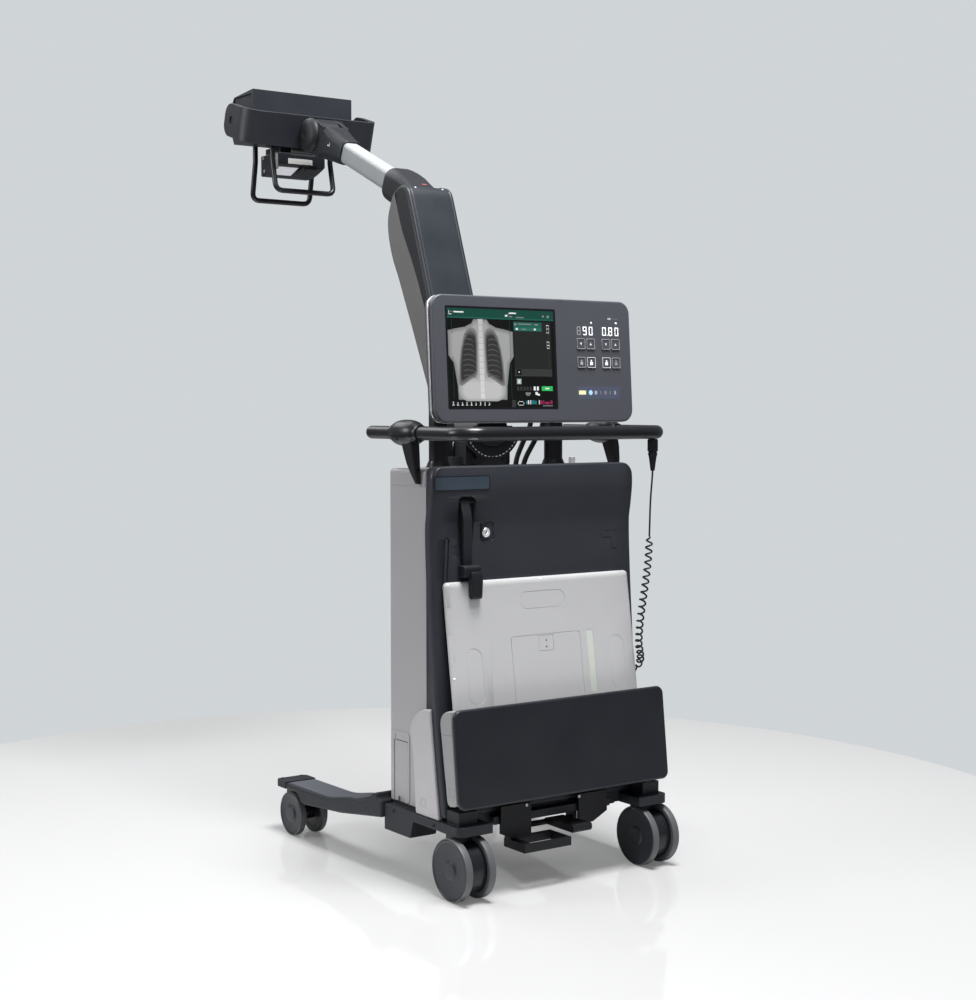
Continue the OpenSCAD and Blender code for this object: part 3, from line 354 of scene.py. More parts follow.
def skin(rings):
    """A closed skin over rings of equal count, as points and faces."""
    n = len(rings[0])
    points = [p for each in rings for p in each]
    faces = [[k * n + i, k * n + (i + 1) % n, (k + 1) * n + (i + 1) % n, (k + 1) * n + i]
             for k in range(len(rings) - 1) for i in range(n)]
    return points, faces + [list(range(n)), list(range(len(points) - n, len(points)))]


def built(name, parts, material, to=drawn, width=0, segments=2, merge=True):
    """Joins parts, each as points and faces, into one piece, placed by the given frame."""
    verts, faces = [], []
    for points, sides in parts:
        faces += [[len(verts) + i for i in each] for each in sides]
        verts += [to @ Vector(p) for p in points]
    return eased(new_piece(name, verts, faces, material, merge), width, segments)


def carved(obj, parts, to=drawn):
    """Cuts shapes out of a piece."""
    tool = built("cutter", parts, obj.data.materials[0], to)
    cut = obj.modifiers.new("cut", "BOOLEAN")
    cut.object = tool
    cut.solver = "EXACT"
    frozen(obj)
    bpy.data.objects.remove(tool)
    return eased(obj, 0)


def repeated(name, places, unit, sizes, material, to=drawn):
    """Geometry Nodes: one small shape, made from named sizes in millimetres, on each [point, facing, along]."""
    seeds = bpy.data.meshes.new(name)
    seeds.from_pydata([tuple(to @ Vector(place[0])) for place in places], [], [])
    turned_by = to.to_3x3().normalized()
    for k, label in ((1, "facing"), (2, "along")):
        layer = seeds.attributes.new(label, "FLOAT_VECTOR", "POINT")
        for i, place in enumerate(places):
            layer.data[i].vector = turned_by @ Vector(place[k])
    obj = placed(name, seeds)
    tree = bpy.data.node_groups.new(name, "GeometryNodeTree")
    for label, way, kind in (("Geometry", "INPUT", "Geometry"), *((label, "INPUT", "Float") for label in sizes),
                             ("Finish", "INPUT", "Material"), ("Geometry", "OUTPUT", "Geometry")):
        tree.interface.new_socket(label, in_out=way, socket_type="NodeSocket" + kind)
    given = node(tree, "NodeGroupInput").outputs
    turn_to = None
    for label, axis, pivot in (("facing", "Z", "AUTO"), ("along", "X", "Z")):
        read = node(tree, "GeometryNodeInputNamedAttribute", {"Name": label}, data_type="FLOAT_VECTOR")
        align = node(tree, "FunctionNodeAlignRotationToVector", {"Vector": read.outputs["Attribute"]}, axis=axis,
                     pivot_axis=pivot)
        if turn_to:
            tree.links.new(turn_to, align.inputs["Rotation"])
        turn_to = align.outputs["Rotation"]
    spread_out = node(tree, "GeometryNodeInstanceOnPoints", {
        "Points": given["Geometry"], "Instance": unit(tree, given), "Rotation": turn_to})
    real = node(tree, "GeometryNodeRealizeInstances", {"Geometry": spread_out.outputs["Instances"]})
    coated = node(tree, "GeometryNodeSetMaterial", {"Geometry": real.outputs["Geometry"], "Material": given["Finish"]})
    node(tree, "NodeGroupOutput", {"Geometry": coated.outputs["Geometry"]})
    live = obj.modifiers.new("shapes", "NODES")
    live.node_group = tree
    ids = {s.name: s.identifier for s in tree.interface.items_tree if s.in_out == "INPUT"}
    for label, value in sizes.items():
        live[ids[label]] = value / 1000
    live[ids["Finish"]] = material
    return frozen(obj)


def times(tree, value, factor):
    return node(tree, "ShaderNodeMath", {0: value, 1: factor}, operation="MULTIPLY").outputs[0]


def socket_screw(tree, given):
    """A round head with a six-sided socket."""
    head = node(tree, "GeometryNodeMeshCylinder", {"Vertices": 20, "Radius": given["Radius"], "Depth": given["Height"]})
    hole = node(tree, "GeometryNodeMeshCylinder", {
        "Vertices": 6, "Radius": times(tree, given["Radius"], 0.5), "Depth": given["Height"]})
    rise = node(tree, "ShaderNodeCombineXYZ", {"Z": times(tree, given["Height"], 0.55)})
    lift = node(tree, "GeometryNodeTransform", {"Geometry": hole.outputs["Mesh"], "Translation": rise.outputs[0]})
    return node(tree, "GeometryNodeMeshBoolean", {"Mesh 1": head.outputs["Mesh"], "Mesh 2": lift.outputs["Geometry"]},
                operation="DIFFERENCE").outputs["Mesh"]


def screws(name, places, radius, height, material, to=drawn):
    return repeated(name, places, socket_screw, {"Radius": radius, "Height": height}, material, to)


powder_coat = finish("powder_coat", (0.0155, 0.0175, 0.0225), 0.52, grain=0.0012, relief=0.35, specular=0.3)
dressed("chassis_frame", "base_frame", powder_coat, 1.6, "charcoal_frame")
screw_zinc = finish("screw_zinc", (0.6, 0.6, 0.6), 0.35, metal=0.7, grain=0.0004)
backwards, left, right, up = (0, -1, 0), (-1, 0, 0), (1, 0, 0), (0, 0, 1)
fixed(screws("plate_screws", [((x, 14, 163), backwards, right) for x in (-73.5, 61.9)], 3, 2.4, screw_zinc),
      "chassis", "lock_metal")
fixed(screws("frame_screws", [((s * 268, y, 139), (s, 0, 0), up) for s in (-1, 1) for y in (62, 212)]
             + [((s * x, 46, 150), up, right) for s in (-1, 1) for x in (204, 256)], 4, 3, powder_coat),
      "chassis", "charcoal_frame")

# Front legs: cast aluminium beams in the same coat, with a paler soft pad glued along
# the top of each and a moulded tip screwed over the caster's stem.

dressed("legs", "front_legs", powder_coat, 7, "charcoal_frame", segments=4)
tip_plastic = finish("tip_plastic", (0.013, 0.0145, 0.0185), 0.46, specular=0.3)
dressed("tips", "leg_tips", tip_plastic, 3, "dark_trim")


def surface_of(node_name):
    """A CAD node's mesh, ready to be met by rays."""
    mesh = frame["nodes"][node_name].data
    return BVHTree.FromPolygons([v.co for v in mesh.vertices], [p.vertices for p in mesh.polygons])


leg_top = surface_of("front_legs")
pad_soft = finish("pad_soft", (0.062, 0.068, 0.08), 0.6, grain=0.0014, relief=0.4)
pad_back, pad_front, pad_half, pad_thick = 352, 652, 33, 1.6
pad_line = []
for k in range(25):
    y = pad_back + (pad_front - pad_back) * k / 24
    pad_line.append((y, leg_top.ray_cast(drawn @ Vector((237, y, 400)), Vector((0, 0, -1)))[0].z * 1000))
pad_outline = [(y, z + pad_thick) for y, z in pad_line] + [(y, z - 1) for y, z in reversed(pad_line)]
fixed(built("leg_pads", [slab(pad_outline, s * 237 - pad_half, s * 237 + pad_half, "X") for s in (-1, 1)],
            pad_soft, width=1.2), "chassis", "dark_trim")
fixed(screws("tip_screws", [((s * 237 + x, 700, 118.8), up, right) for s in (-1, 1) for x in (-24, 24)], 3.4, 2.6,
             tip_plastic), "chassis", "dark_trim")

# Rear foot plates: thick moulded steps over the rear casters, each with a block that
# bolts it to the frame.

dressed("foot_plates", "rear_feet", tip_plastic, 3, "dark_trim")
fixed(screws("foot_screws", [((s * 235 + x, -2, 176), up, right) for s in (-1, 1) for x in (-10, 12)]
             + [((s * 204, -14, 150), up, right) for s in (-1, 1)], 4, 3, powder_coat), "chassis", "dark_trim")

# Brake pedal and its slotted bracket: bent steel in satin black, with a ribbed rubber
# pad where the foot presses.

pedal_paint = finish("pedal_paint", (0.008, 0.0085, 0.0105), 0.46, specular=0.25)
dressed("pedal", "brake_pedal", pedal_paint, 1.2, "dark_trim")
dressed("bracket", "pedal_bracket", pedal_paint, 0.8, "charcoal_frame")
pedal_back, pedal_top = -30, 118.2


def plain_bar(tree, given):
    """A straight bar."""
    size = node(tree, "ShaderNodeCombineXYZ", {"X": given["Length"], "Y": given["Width"], "Z": given["Height"]})
    return node(tree, "GeometryNodeMeshCube", {"Size": size.outputs[0]}).outputs["Mesh"]


fixed(repeated("pedal_ribs", [((36, pedal_back + 5 * k, pedal_top - 0.2), up, right) for k in range(5)], plain_bar,
               {"Length": 42, "Width": 2.2, "Height": 2}, lead_rubber), "chassis", "dark_trim")

# Casters: each has two discs with grey tyres on one axle, either side of a fork that
# swivels. The rear forks carry a glossy drum-shaped housing between the wheels.


def turned(name, outlines, centre, material, steps=72, to=drawn):
    """Turns closed [radius, across] outlines round an axis along X through the centre."""
    verts, faces = [], []
    for outline in outlines:
        first = len(verts)
        n = len(outline)
        for k in range(steps):
            c, s = math.cos(math.tau * k / steps), math.sin(math.tau * k / steps)
            verts += [to @ Vector((centre[0] + a, centre[1] + r * c, centre[2] + r * s)) for r, a in outline]
        for k in range(steps):
            here, there = first + k * n, first + (k + 1) % steps * n
            for i in range(n):
                j = (i + 1) % n
                if outline[i][0] < 1e-6 and outline[j][0] < 1e-6:
                    continue
                faces.append([here + i, here + j, there + j, there + i])
    return eased(new_piece(name, verts, faces, material), 0)


caster_plastic = finish("caster_plastic", (0.01, 0.011, 0.014), 0.26, relief=0.05)
tyre_rubber = finish("tyre_rubber", (0.088, 0.092, 0.097), 0.46, grain=0.0007, relief=0.3)
disc_plastic = finish("disc_plastic", (0.02, 0.0225, 0.028), 0.36)
for end in ("rear", "front"):
    for hand in ("left", "right"):
        low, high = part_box(f"wheels_{end}_{hand}")
        r = (high.z - low.z) * 500
        half = (high.x - low.x) * 500
        centre = drawn.inverted() @ ((low + high) / 2)
        tyre = [(r - 12, half - 15.5), (r - 9, half - 17), (r - 3, half - 17), (r - 1, half - 16), (r, half - 14),
                (r, half - 3.6), (r - 1, half - 1.4), (r - 2.6, half - 0.7), (r - 3.1, half - 1.4),
                (r - 3.3, half - 4.6), (r - 12, half - 4.6)]
        face = [(0, half - 15), (r - 12.5, half - 15), (r - 12.5, half - 4.3), (r - 3.5, half - 4.3),
                (r - 3.5, half - 1.2), (r - 4.2, half - 0.5), (r - 5, half - 0.6), (r - 6, half - 1.6),
                (r - 8, half - 2.2), (20.5, half - 3.4), (19.5, half - 3), (18.5, half - 1.2),
                (16.5, half - 0.4), (13, half - 0.1), (0, half)]
        flip = [[(p, -q) for p, q in reversed(shape)] for shape in (tyre, face)]
        axle = [(0, -half + 8), (5, -half + 8), (5, half - 8), (0, half - 8)]
        tyres = turned(f"tyres_{end}_{hand}", [tyre, flip[0]], centre, tyre_rubber)
        discs = turned(f"discs_{end}_{hand}", [face, flip[1]], centre, disc_plastic)
        rod = turned(f"axle_{end}_{hand}", [axle], centre, caster_plastic, 32)
        fixed(tyres, f"rollers_{end}_{hand}", "tyre_grey", f"wheels_{end}_{hand}")
        fixed(discs, f"rollers_{end}_{hand}", "caster_plastic")
        fixed(rod, f"rollers_{end}_{hand}", "caster_plastic")
        fork = from_cad(f"caster_fork_{end}_{hand}", f"fork_{end}_{hand}", caster_plastic, 1.4)
        fixed(fork, f"caster_{end}_{hand}", "caster_plastic", f"fork_{end}_{hand}")

# Body: silver-painted moulded covers round the battery and generator, with a lid, a
# round mast housing in front, an access door at the left and lower side covers.

silver_paint = finish("silver_paint", (0.375, 0.366, 0.38), 0.42, metal=0.2, grain=0.0008, relief=0.08, cloud=0.02,
                      cloud_size=0.3)
for name, node_name, body, width in (
        ("body_panels", "body_cover", "chassis", 1.2), ("mast_tower", "mast_housing", "chassis", 1.5),
        ("door_panel", "access_door", "door", 0.6)):
    dressed(name, node_name, silver_paint, width, "silver_cover", body)


def plan_ring(inset, z):
    """The body's plan with round front corners, shrunk by an inset, at a height."""
    w, back, front = 250 - inset, 114 + inset, 264 - inset
    r = max(22 - inset, 4)
    half = [(w - 4, back), (w, back + 4)] + [polar(r, 7.5 * k, w - r, front - r) for k in range(13)]
    return [(x, y, z) for x, y in half] + [(-x, y, z) for x, y in reversed(half)]


lid_edge = [polar(9, 11.25 * k, 0, 835) for k in range(1, 9)]
fixed(built("lid", [skin([plan_ring(0, 810), plan_ring(0, 835)] + [plan_ring(9 - x, z) for x, z in lid_edge])],
            silver_paint), "chassis", "silver_cover", "top_lid")
# The lower side covers and their plugs take a lighter copy of the body's silver: painted light for the brighter light
# on the covers' slanted faces.
silver_painted_lighter = finish("silver_painted_lighter", (0.46, 0.45, 0.465), 0.4, metal=0.2, grain=0.0008, relief=0.08, cloud=0.02)
side_covers = from_cad("side_covers", "lower_covers", silver_painted_lighter, 4.5, 4)
carved(side_covers, [slab(rounded(18, 16, 4, 107, 176), s * 262, s * 266, "X") for s in (-1, 1)])
fixed(side_covers, "chassis", "silver_cover", "lower_covers")
fixed(built("cover_plugs", [slab(rounded(16.4, 14.4, 3.4, 107, 176), s * 261, s * 262.9, "X") for s in (-1, 1)],
            silver_painted_lighter), "chassis", "silver_cover")
pack_paint = finish("pack_paint", (0.2, 0.2, 0.2), 0.6)
frame["nodes"]["power_pack"].data.materials.clear()
frame["nodes"]["power_pack"].data.materials.append(pack_paint)
lamp_block = finish("lamp_block", (0.5, 0.5, 0.51), 0.3, grain=0.0005)
fixed(built("status_block", [slab(rounded(13, 10, 2, 221.5, 245), 843.5, 859, "Z")], lamp_block, width=1),
      "chassis", "silver_cover")

# Rear shell: a soft matt black moulding with an S-shaped face, wrapped a little round
# the body's sides, with a blank name plate, a clamp channel, a groove and a parking mark.

shell_paint = finish("shell_paint", (0.026, 0.0285, 0.037), 0.42, grain=0.0009, relief=0.1, cloud=0.06)
shell_knots = [(156, 33), (250, 48), (364, 63), (532, 76), (620, 82), (727, 86), (765, 80.5), (803, 76), (828, 77),
               (851, 81)]  # [height, depth] of the rear face, from the foot up


def shell_y(z):
    """Depth of the shell's rear face at a height, on a smooth line through the knots."""
    i = min(max(sum(z > k[0] for k in shell_knots) - 1, 0), len(shell_knots) - 2)
    rise, middle = ([(b[1] - a[1]) / (b[0] - a[0]) for a, b in zip(shell_knots, shell_knots[n:])] for n in (1, 2))
    slope = [rise[0]] + middle + [rise[-1]]
    a, b = shell_knots[i:i + 2]
    h = b[0] - a[0]
    k = (z - a[0]) / h
    return (2 * k ** 3 - 3 * k * k + 1) * a[1] + (k ** 3 - 2 * k * k + k) * h * slope[i] \
        + (3 * k * k - 2 * k ** 3) * b[1] + (k ** 3 - k * k) * h * slope[i + 1]


def shell_ring(z, inset=0.0):
    """The shell's plan at a height: rear face, round corners, and the wings along the body's sides."""
    y = shell_y(min(z, 850)) + 0.4 + inset
    w = 257.9 - inset - (25 - math.sqrt(max(0, 625 - max(0, z - 826) ** 2)))
    inner, r = min(249, w - 3), 8
    corner = [polar(r, 15 * k - 90, w - r, y + r) for k in range(7)]
    half = [(w * 0.35, y), (w * 0.7, y)] + corner + [(w, y - inset + 19.6), (inner, y - inset + 19.6), (inner, 113.7)]
    return [(p, q, z) for p, q in half] + [(-p, q, z) for p, q in reversed(half)]


heights = [158 + 4 * k for k in range(168)] + [828 + 1.6 * k for k in range(12)]
soft_top = [(847 + z, 3.8 - x) for x, z in (polar(3.8, 15 * k) for k in range(7))]
shell = built("shell", [skin([shell_ring(156.2, 1.6), shell_ring(156.8, 0.5)] + [shell_ring(z) for z in heights]
                             + [shell_ring(z, inset) for z, inset in soft_top])], shell_paint)
shell_face = surface_of("rear_shell")


def leaned(place, degrees, axis="X"):
    """A frame in millimetres at a place in metres, turned about one axis."""
    return Matrix.Translation(place) @ Matrix.Rotation(math.radians(degrees), 4, axis) @ Matrix.Scale(0.001, 4)


def on_shell(z, reach=12):
    """A flat frame on the shell's rear face at that height: across, inwards and up, in millimetres."""
    low, high = (shell_face.ray_cast(drawn @ Vector((60, -200, z + k)), Vector((0, 1, 0)))[0] for k in (-reach, reach))
    lean = math.atan2(high.y - low.y, high.z - low.z)
    return leaned((0, (low.y + high.y) / 2, z / 1000), -math.degrees(lean))


mark_outer = [(177, 8), (181, 11), (215, 11), (220, 7), (220, -26), (216, -29), (206, -29), (203, -26),
              (203, -5), (181, -5), (177, -1)]
mark_inner = [(179.4, 7), (182, 8.7), (214, 8.7), (217.7, 6), (217.7, -25), (215, -26.7), (207, -26.7),
              (205.3, -25), (205.3, -2.7), (182, -2.7), (179.4, 0)]


def guide(w, h, r):
    """Outline of the slim guide beside the parking mark, leaned a little to the left."""
    tilt = Matrix.Rotation(math.radians(-4.9), 2)
    return [tilt @ Vector(p) + Vector((-222.5, 0)) for p in rounded(w, h, r)]


channel = [[(x0, 30, z), (x1, 30, z), (x1, y, z), (x0, y, z)] for z, x0, x1, y in (
    (650, -188, -161, 82), (690, -191, -157, 89), (740, -194, -153, 94.5), (778, -195, -150.5, 96.5),
    (785, -194, -151.5, 96.5), (789, -190.5, -155, 96.5), (790.5, -186, -160, 96.5))]
carved(shell, [slab(mark_outer, -4, 0.9)], on_shell(695))
carved(shell, [slab(guide(13, 100, 6.5), -4, 3.5)], on_shell(660))
carved(shell, [skin(channel), slab(rounded(33, 40, 6, -120.5, 718), 40, 88.2)])
fixed(shell, "chassis", "black_shell", "rear_shell")
fixed(built("parking_mark", [slab(mark_inner, 0, 1.2)], shell_paint, on_shell(695), 0.4), "chassis", "black_shell")
fixed(built("guide_rib", [slab(guide(6.4, 92, 3.2), 0.4, 4)], shell_paint, on_shell(660), 1), "chassis", "black_shell")
plate_edge = finish("plate_edge", (0.012, 0.014, 0.02), 0.3)
plate_blue = finish("plate_blue", (0.04, 0.056, 0.076), 0.32, cloud=0.3, cloud_size=0.1, grain=0.0005)
fixed(built("name_plate_rim", [slab(rounded(137, 31, 5, -188, 0), -0.5, 1)], plate_edge, on_shell(817, 9), 0.3),
      "chassis", "dark_trim")
fixed(built("name_plate", [slab(rounded(131, 25, 3, -188, 0), -0.8, 0)], plate_blue, on_shell(817, 9), 0.2),
      "chassis", "monitor_grey")

# Key lock: a bright barrel with a key slot, in a hollow of the shell beside the clamp.

lock_steel = finish("lock_steel", (0.85, 0.85, 0.85), 0.22, metal=0.35, grain=0.0005)
lock_face = leaned((-0.124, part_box("key_lock")[0].y, 0.715), -90, "Z")
barrel = [(0, -7.6), (9.8, -7.6), (9.8, -0.8), (9, 0), (7.4, 0), (6.9, -0.7), (6.3, -0.2), (5.7, -0.2), (0, -0.2)]
lock = turned("lock_barrel", [barrel], (0, 0, 0), lock_steel, 48, lock_face)
carved(lock, [slab(rounded(2, 8.5, 0.9), -3, 2, "X")], lock_face @ Matrix.Rotation(math.radians(-35), 4, "X"))
fixed(lock, "chassis", "lock_metal", "key_lock")
# Near-black for real dark parts (screw heads, latch dots, the screen's joint), and also painted shade in the key slot
# and in the vent's holes.
dark_inlay_and_painted_shade = finish("dark_inlay_and_painted_shade", (0.006, 0.006, 0.007), 0.4)
# The key slot's floor is a dark slab: painted shade for the depth of the keyway.
fixed(built("key_slot_painted_shade", [slab(rounded(1.9, 8.2, 0.9), -2.6, -1.6, "X")], dark_inlay_and_painted_shade,
            lock_face @ Matrix.Rotation(math.radians(-35), 4, "X")), "chassis", "dark_trim")
fixed(built("lock_pad", [slab(rounded(9, 34, 3, -131.5, 719.5), 84, 89)], tip_plastic, width=1), "chassis", "dark_trim")

# Detector bin: a black cover with soft edges, hung on two silver end caps, and a dark
# trough behind it that the panel stands in.

# The bin cover is painted much darker than the rear shell.
bin_paint = finish("bin_paint", (0.0095, 0.0108, 0.0155), 0.42, grain=0.0009, relief=0.1, cloud=0.06)
dressed("bin_front", "bin_cover", bin_paint, 5.6, "black_shell", segments=5)
cap_paint = finish("cap_paint", (0.27, 0.275, 0.28), 0.45, grain=0.0008, relief=0.1, cloud=0.03)
caps = from_cad("bin_end_caps", "bin_caps", cap_paint, 2.5)
carved(caps, [slab([(-20, 329.6), (45, 327), (45, 326), (-20, 328.6)], s * 267, s * 270, "X") for s in (-1, 1)]
       + [slab(rounded(20, 18, 4, -4, 217), s * 267, s * 270, "X") for s in (-1, 1)])
fixed(caps, "chassis", "silver_cover", "bin_caps")
fixed(built("cap_buttons", [slab(rounded(18.4, 16.4, 3.4, -4, 217), s * 266, s * 267.9, "X") for s in (-1, 1)],
            cap_paint), "chassis", "silver_cover")
dressed("trough", "bin_trough", tip_plastic, 0.8, "dark_trim")

# Detector: a flat x-ray panel in a satin silver case with a wide soft bevel all round,
# finger grips pressed in its back, and a battery door with a sprung latch.

panel_at = leaned(drawn @ Vector((0, 8.8, 241.6)), -8.5)
panel_silver = finish("panel_silver", (0.58, 0.58, 0.59), 0.36, metal=0.1, grain=0.0006, relief=0.06, cloud=0.02)


def layered(name, w, h, r, layers, material, to):
    """A flat case built up from round-cornered rings, each given as [inset, depth]."""
    rings = [[(x, depth, z) for x, z in rounded(w - 2 * inset, h - 2 * inset, max(r - inset, 1.5), 0, h / 2)]
             for inset, depth in layers]
    return built(name, [skin(rings)], material, to)


panel = layered("detector_case", 470, 384, 9,
                [(13, 0), (10, 0.25), (7, 0.9), (4.5, 2), (2.4, 3.6), (0.9, 5.4), (0.1, 7.4), (0, 8.6), (0, 13),
                 (0.8, 15), (2.5, 16)], panel_silver, panel_at)
carved(panel, [slab(rounded(116, 37, 18.4, 0, 336, 8), -1, 0.7)]
       + [slab(rounded(40, 113, 19.9, s * 183, 192.5, 8), -1, 0.7) for s in (-1, 1)]
       + [slab(rounded(178, 150, 6, 0, 190), -1, 1.4), slab(rounded(18.5, 132, 3, 114.2, 199.5), -1, 0.5),
          slab(rounded(1.2, 16, 0.5, -229, 229), -1, 4), slab([(-139.4, 255), (-138.6, 255), (-144.6, 120),
                                                               (-145.4, 120)], -1, 0.35)]
       + [block(-240, -226, -1, 9, z, z + 0.8) for z in (281, 335)], panel_at)
fixed(panel, "chassis", "panel_silver", "detector")
fixed(built("grip_pads",
            [slab(rounded(112.6, 33.6, 16.7, 0, 336, 8), 0.3, 2)]
            + [slab(rounded(36.6, 109.6, 18.2, s * 183, 192.5, 8), 0.3, 2) for s in (-1, 1)],
            panel_silver, panel_at, 0.6), "chassis", "panel_silver")
door = built("battery_door", [slab(rounded(176, 148, 5, 0, 190), 0, 2)], panel_silver, panel_at, 0.3)
carved(door, [slab(rounded(37.5, 32, 1.5, 0, 246), -1, 1.2)], panel_at)
fixed(door, "chassis", "panel_silver")
fixed(built("door_latch", [slab(rounded(35.9, 30.4, 1.2, 0, 246), 0.1, 2)], panel_silver, panel_at, 0.3),
      "chassis", "panel_silver")
fixed(screws("latch_dots", [((0, 0.1, z), backwards, right) for z in (251.6, 238.5)], 1.6, 0.7, dark_inlay_and_painted_shade, panel_at),
      "chassis", "dark_trim")
label_pale = finish("label_pale", (0.62, 0.66, 0.6), 0.4, grain=0.0005, cloud=0.04)
fixed(built("blank_label", [slab(rounded(16.5, 128, 2.2, 114.2, 199.5), 0.2, 1)], label_pale, panel_at),
      "chassis", "panel_silver")
# Three small glowing marks on the panel's edges are painted glints, not lamps.
painted_glint_glow = finish("painted_glint_glow", (0.8, 0.86, 1), 0.3, glow=(0.75, 0.82, 1, 0.6))
fixed(built("panel_glints", [block(-233.5, -224, 1.8, 5.2, 192, 194.4), block(224, 229, 1.6, 4, 190, 193),
                           block(-2, 3, 1, 4, 377.5, 380.5)], painted_glint_glow, panel_at, 0.4), "chassis", "panel_silver")

# Detector clamp: a black hook on a short hinged arm that holds the panel's upper edge.

clamp = built("clamp_arm", [
    slab([(72, 646), (72, 742), (74.5, 757), (80, 770), (83, 784), (92, 784), (92, 775), (88, 765),
          (84, 752), (84, 646)],
         -188, -166, "X"),
    slab([(77, 653), (76, 630), (54, 630), (52, 648), (56, 653)], -198, -157, "X"),
    slab([(74, 636), (74, 629), (60, 622), (60, 590), (57, 586), (52, 585), (49, 589), (46, 629), (50, 641)],
         -184, -157, "X")], tip_plastic, width=2.4, segments=3, merge=False)
fixed(turned("clamp_pin", [[(0, -26), (4, -26), (4, 26), (0, 26)]], (-173, 88, 779), pedal_paint, 24),
      "clamp", "dark_trim")
fixed(clamp, "clamp", "dark_trim", "detector_clamp")

# Push handle: one bent tube with a semi-gloss black sleeve and two bare ends, held by
# two egg-shaped hubs, each clamped together from two halves, on struts bolted to the body.

handle_gloss = finish("handle_gloss", (0.0095, 0.01, 0.0125), 0.3, grain=0.001, relief=0.05, spread=0.03)
dressed("push_bar", "handle_loop", handle_gloss, 0, "handle_black")
dressed("bar_ends", "bar_grips", handle_gloss, 0, "handle_black")
hub_parts, strut_parts = [], []
for s in (-1, 1):
    egg = [(0.2, -51)] + [(max(26.9 * (1 - abs(k / 16) ** 2.5) ** 0.42, 16.6), 51 * k / 16)
                          for k in range(-16, 17)] + [(0.2, 51)]
    hub_parts.append(skin([[(x, 176 + along, z) for x, z in (polar(r, 7.5 * k, s * 254, 917) for k in range(48))]
                           for r, along in egg]))
    strut_parts.append(skin([[(s * (x0 + x), y, z) for x, y in ((w - 2, y0), (w, y0 + 2), (w, y1 - 2), (w - 2, y1),
                                                               (2, y1), (0, y1 - 2), (0, y0 + 2), (2, y0))]
                             for z, x0, w, y0, y1 in ((815, 250.4, 9, 131, 140), (832, 250.4, 13, 132, 149),
                                                      (856, 250.4, 17, 133, 161), (884, 249, 20, 137, 172),
                                                      (904, 247, 22, 142, 180))]))
hubs = built("bar_hubs", hub_parts, handle_gloss)
carved(hubs, [block(s * 254 - 40, s * 254 + 40, 130, 230, 910.4, 911.6) for s in (-1, 1)])
fixed(hubs, "chassis", "handle_black", "handle_struts")
fixed(built("bar_struts", strut_parts, handle_gloss), "chassis", "handle_black")
fixed(screws("hub_screws", [((s * 277.6, 178, 905), (s, 0, -0.45), up) for s in (-1, 1)], 3.6, 2.4, dark_inlay_and_painted_shade),
      "chassis", "handle_black")

# Hand switch: a tapered black exposure switch in a holder under the handle's corner,
# with a collar and a boot over the lead.

switch_up = leaned((0.23, drawn.translation.y - 0.018, 0), -90, "Y")
top_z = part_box("hand_switch")[1].z * 1000
grip_line = [(0, 836), (4.2, 836), (4.6, 838), (6.4, 852), (8.4, 866), (9.8, 870), (9.8, 872.5), (9, 873.4),
             (9, 876), (10.9, 877), (11, 879), (11, top_z - 3), (10, top_z - 0.6), (8, top_z), (0, top_z)]
fixed(turned("trigger", [grip_line], (0, 0, 0), handle_gloss, 40, switch_up), "chassis", "handle_black", "hand_switch")

# Monitor: a grey moulded bezel over a dark joint, a bright trim ring and a back shell,
# with a glass screen at the left and outlined keys with number displays at the right.
# The trim ring is a glossy silver edge, and its light silver is partly a painted highlight along the rim.

monitor_at = leaned(drawn @ Vector((0, 72, 938)), -3.8)
monitor_grey = finish("monitor_grey", (0.07, 0.073, 0.087), 0.4, cloud=0.03)
trim_bright = finish("trim_bright", (0.6, 0.61, 0.62), 0.25, metal=0.6, grain=0.0005)
monitor_w, monitor_h = 506, 256
bezel = layered("screen_bezel", monitor_w, monitor_h, 26,
                [(4, 0), (2.2, 0.4), (0.9, 1.3), (0.2, 2.6), (0, 4), (0, 9.6), (0.6, 10.6), (2, 11), (3, 12)],
                monitor_grey, monitor_at)
carved(bezel, [slab(rounded(275, 207, 3.5, -85, 130), -1, 3.5),
               slab([(59, -1), (59, 0), (67, 0.7), (75, 0), (75, -1)], 4, 252, "Z")], monitor_at)
fixed(bezel, "chassis", "monitor_grey", "monitor_case")
fixed(layered("screen_joint", monitor_w - 6, monitor_h - 6, 23, [(0, 8.5), (0, 17)], dark_inlay_and_painted_shade,
              monitor_at @ Matrix.Translation((0, 0, 3))), "chassis", "dark_trim")
# Light silver trim: partly a real glossy edge, partly a painted highlight along the rim.
fixed(layered("screen_trim", monitor_w, monitor_h, 26, [(1.6, 15.6), (0.4, 16), (0, 17), (0, 20.6), (0.6, 21.6)],
              trim_bright, monitor_at), "chassis", "lock_metal")
back_shell = layered("screen_back", monitor_w, monitor_h, 26,
                     [(1, 21), (1, 25), (1.6, 28), (3.6, 30.8), (7, 32), (38, 32), (41, 33.4), (42, 35.6), (43, 42),
                      (44.4, 44.8), (48, 46)], monitor_grey, monitor_at)
carved(back_shell, [block(x, x + 4, 44, 50, 150, 200) for x in range(-150, 151, 12)], monitor_at)
fixed(back_shell, "chassis", "monitor_grey")
glass_black = finish("glass_black", (0.006, 0.007, 0.009), 0.09, relief=0.0, spread=0.02)
dressed("glass_pane", "screen_glass", glass_black, 0.4, "screen")
dressed("keys", "control_keys", monitor_grey, 0.3, "monitor_grey")


def shaded(name, glow, rough):
    """A printed or lit inlay that takes its colour from the mesh's own shade at each place."""
    mat = finish(name, (0.5, 0.5, 0.5), rough, grain=0.0006, relief=0.03, cloud=0)
    tree = mat.node_tree
    own = node(tree, "ShaderNodeAttribute", attribute_name="shade").outputs["Color"]
    filled(tree, tree.nodes["Principled BSDF"], {"Base Color": own, "Emission Color": own, "Emission Strength": glow})
    return mat


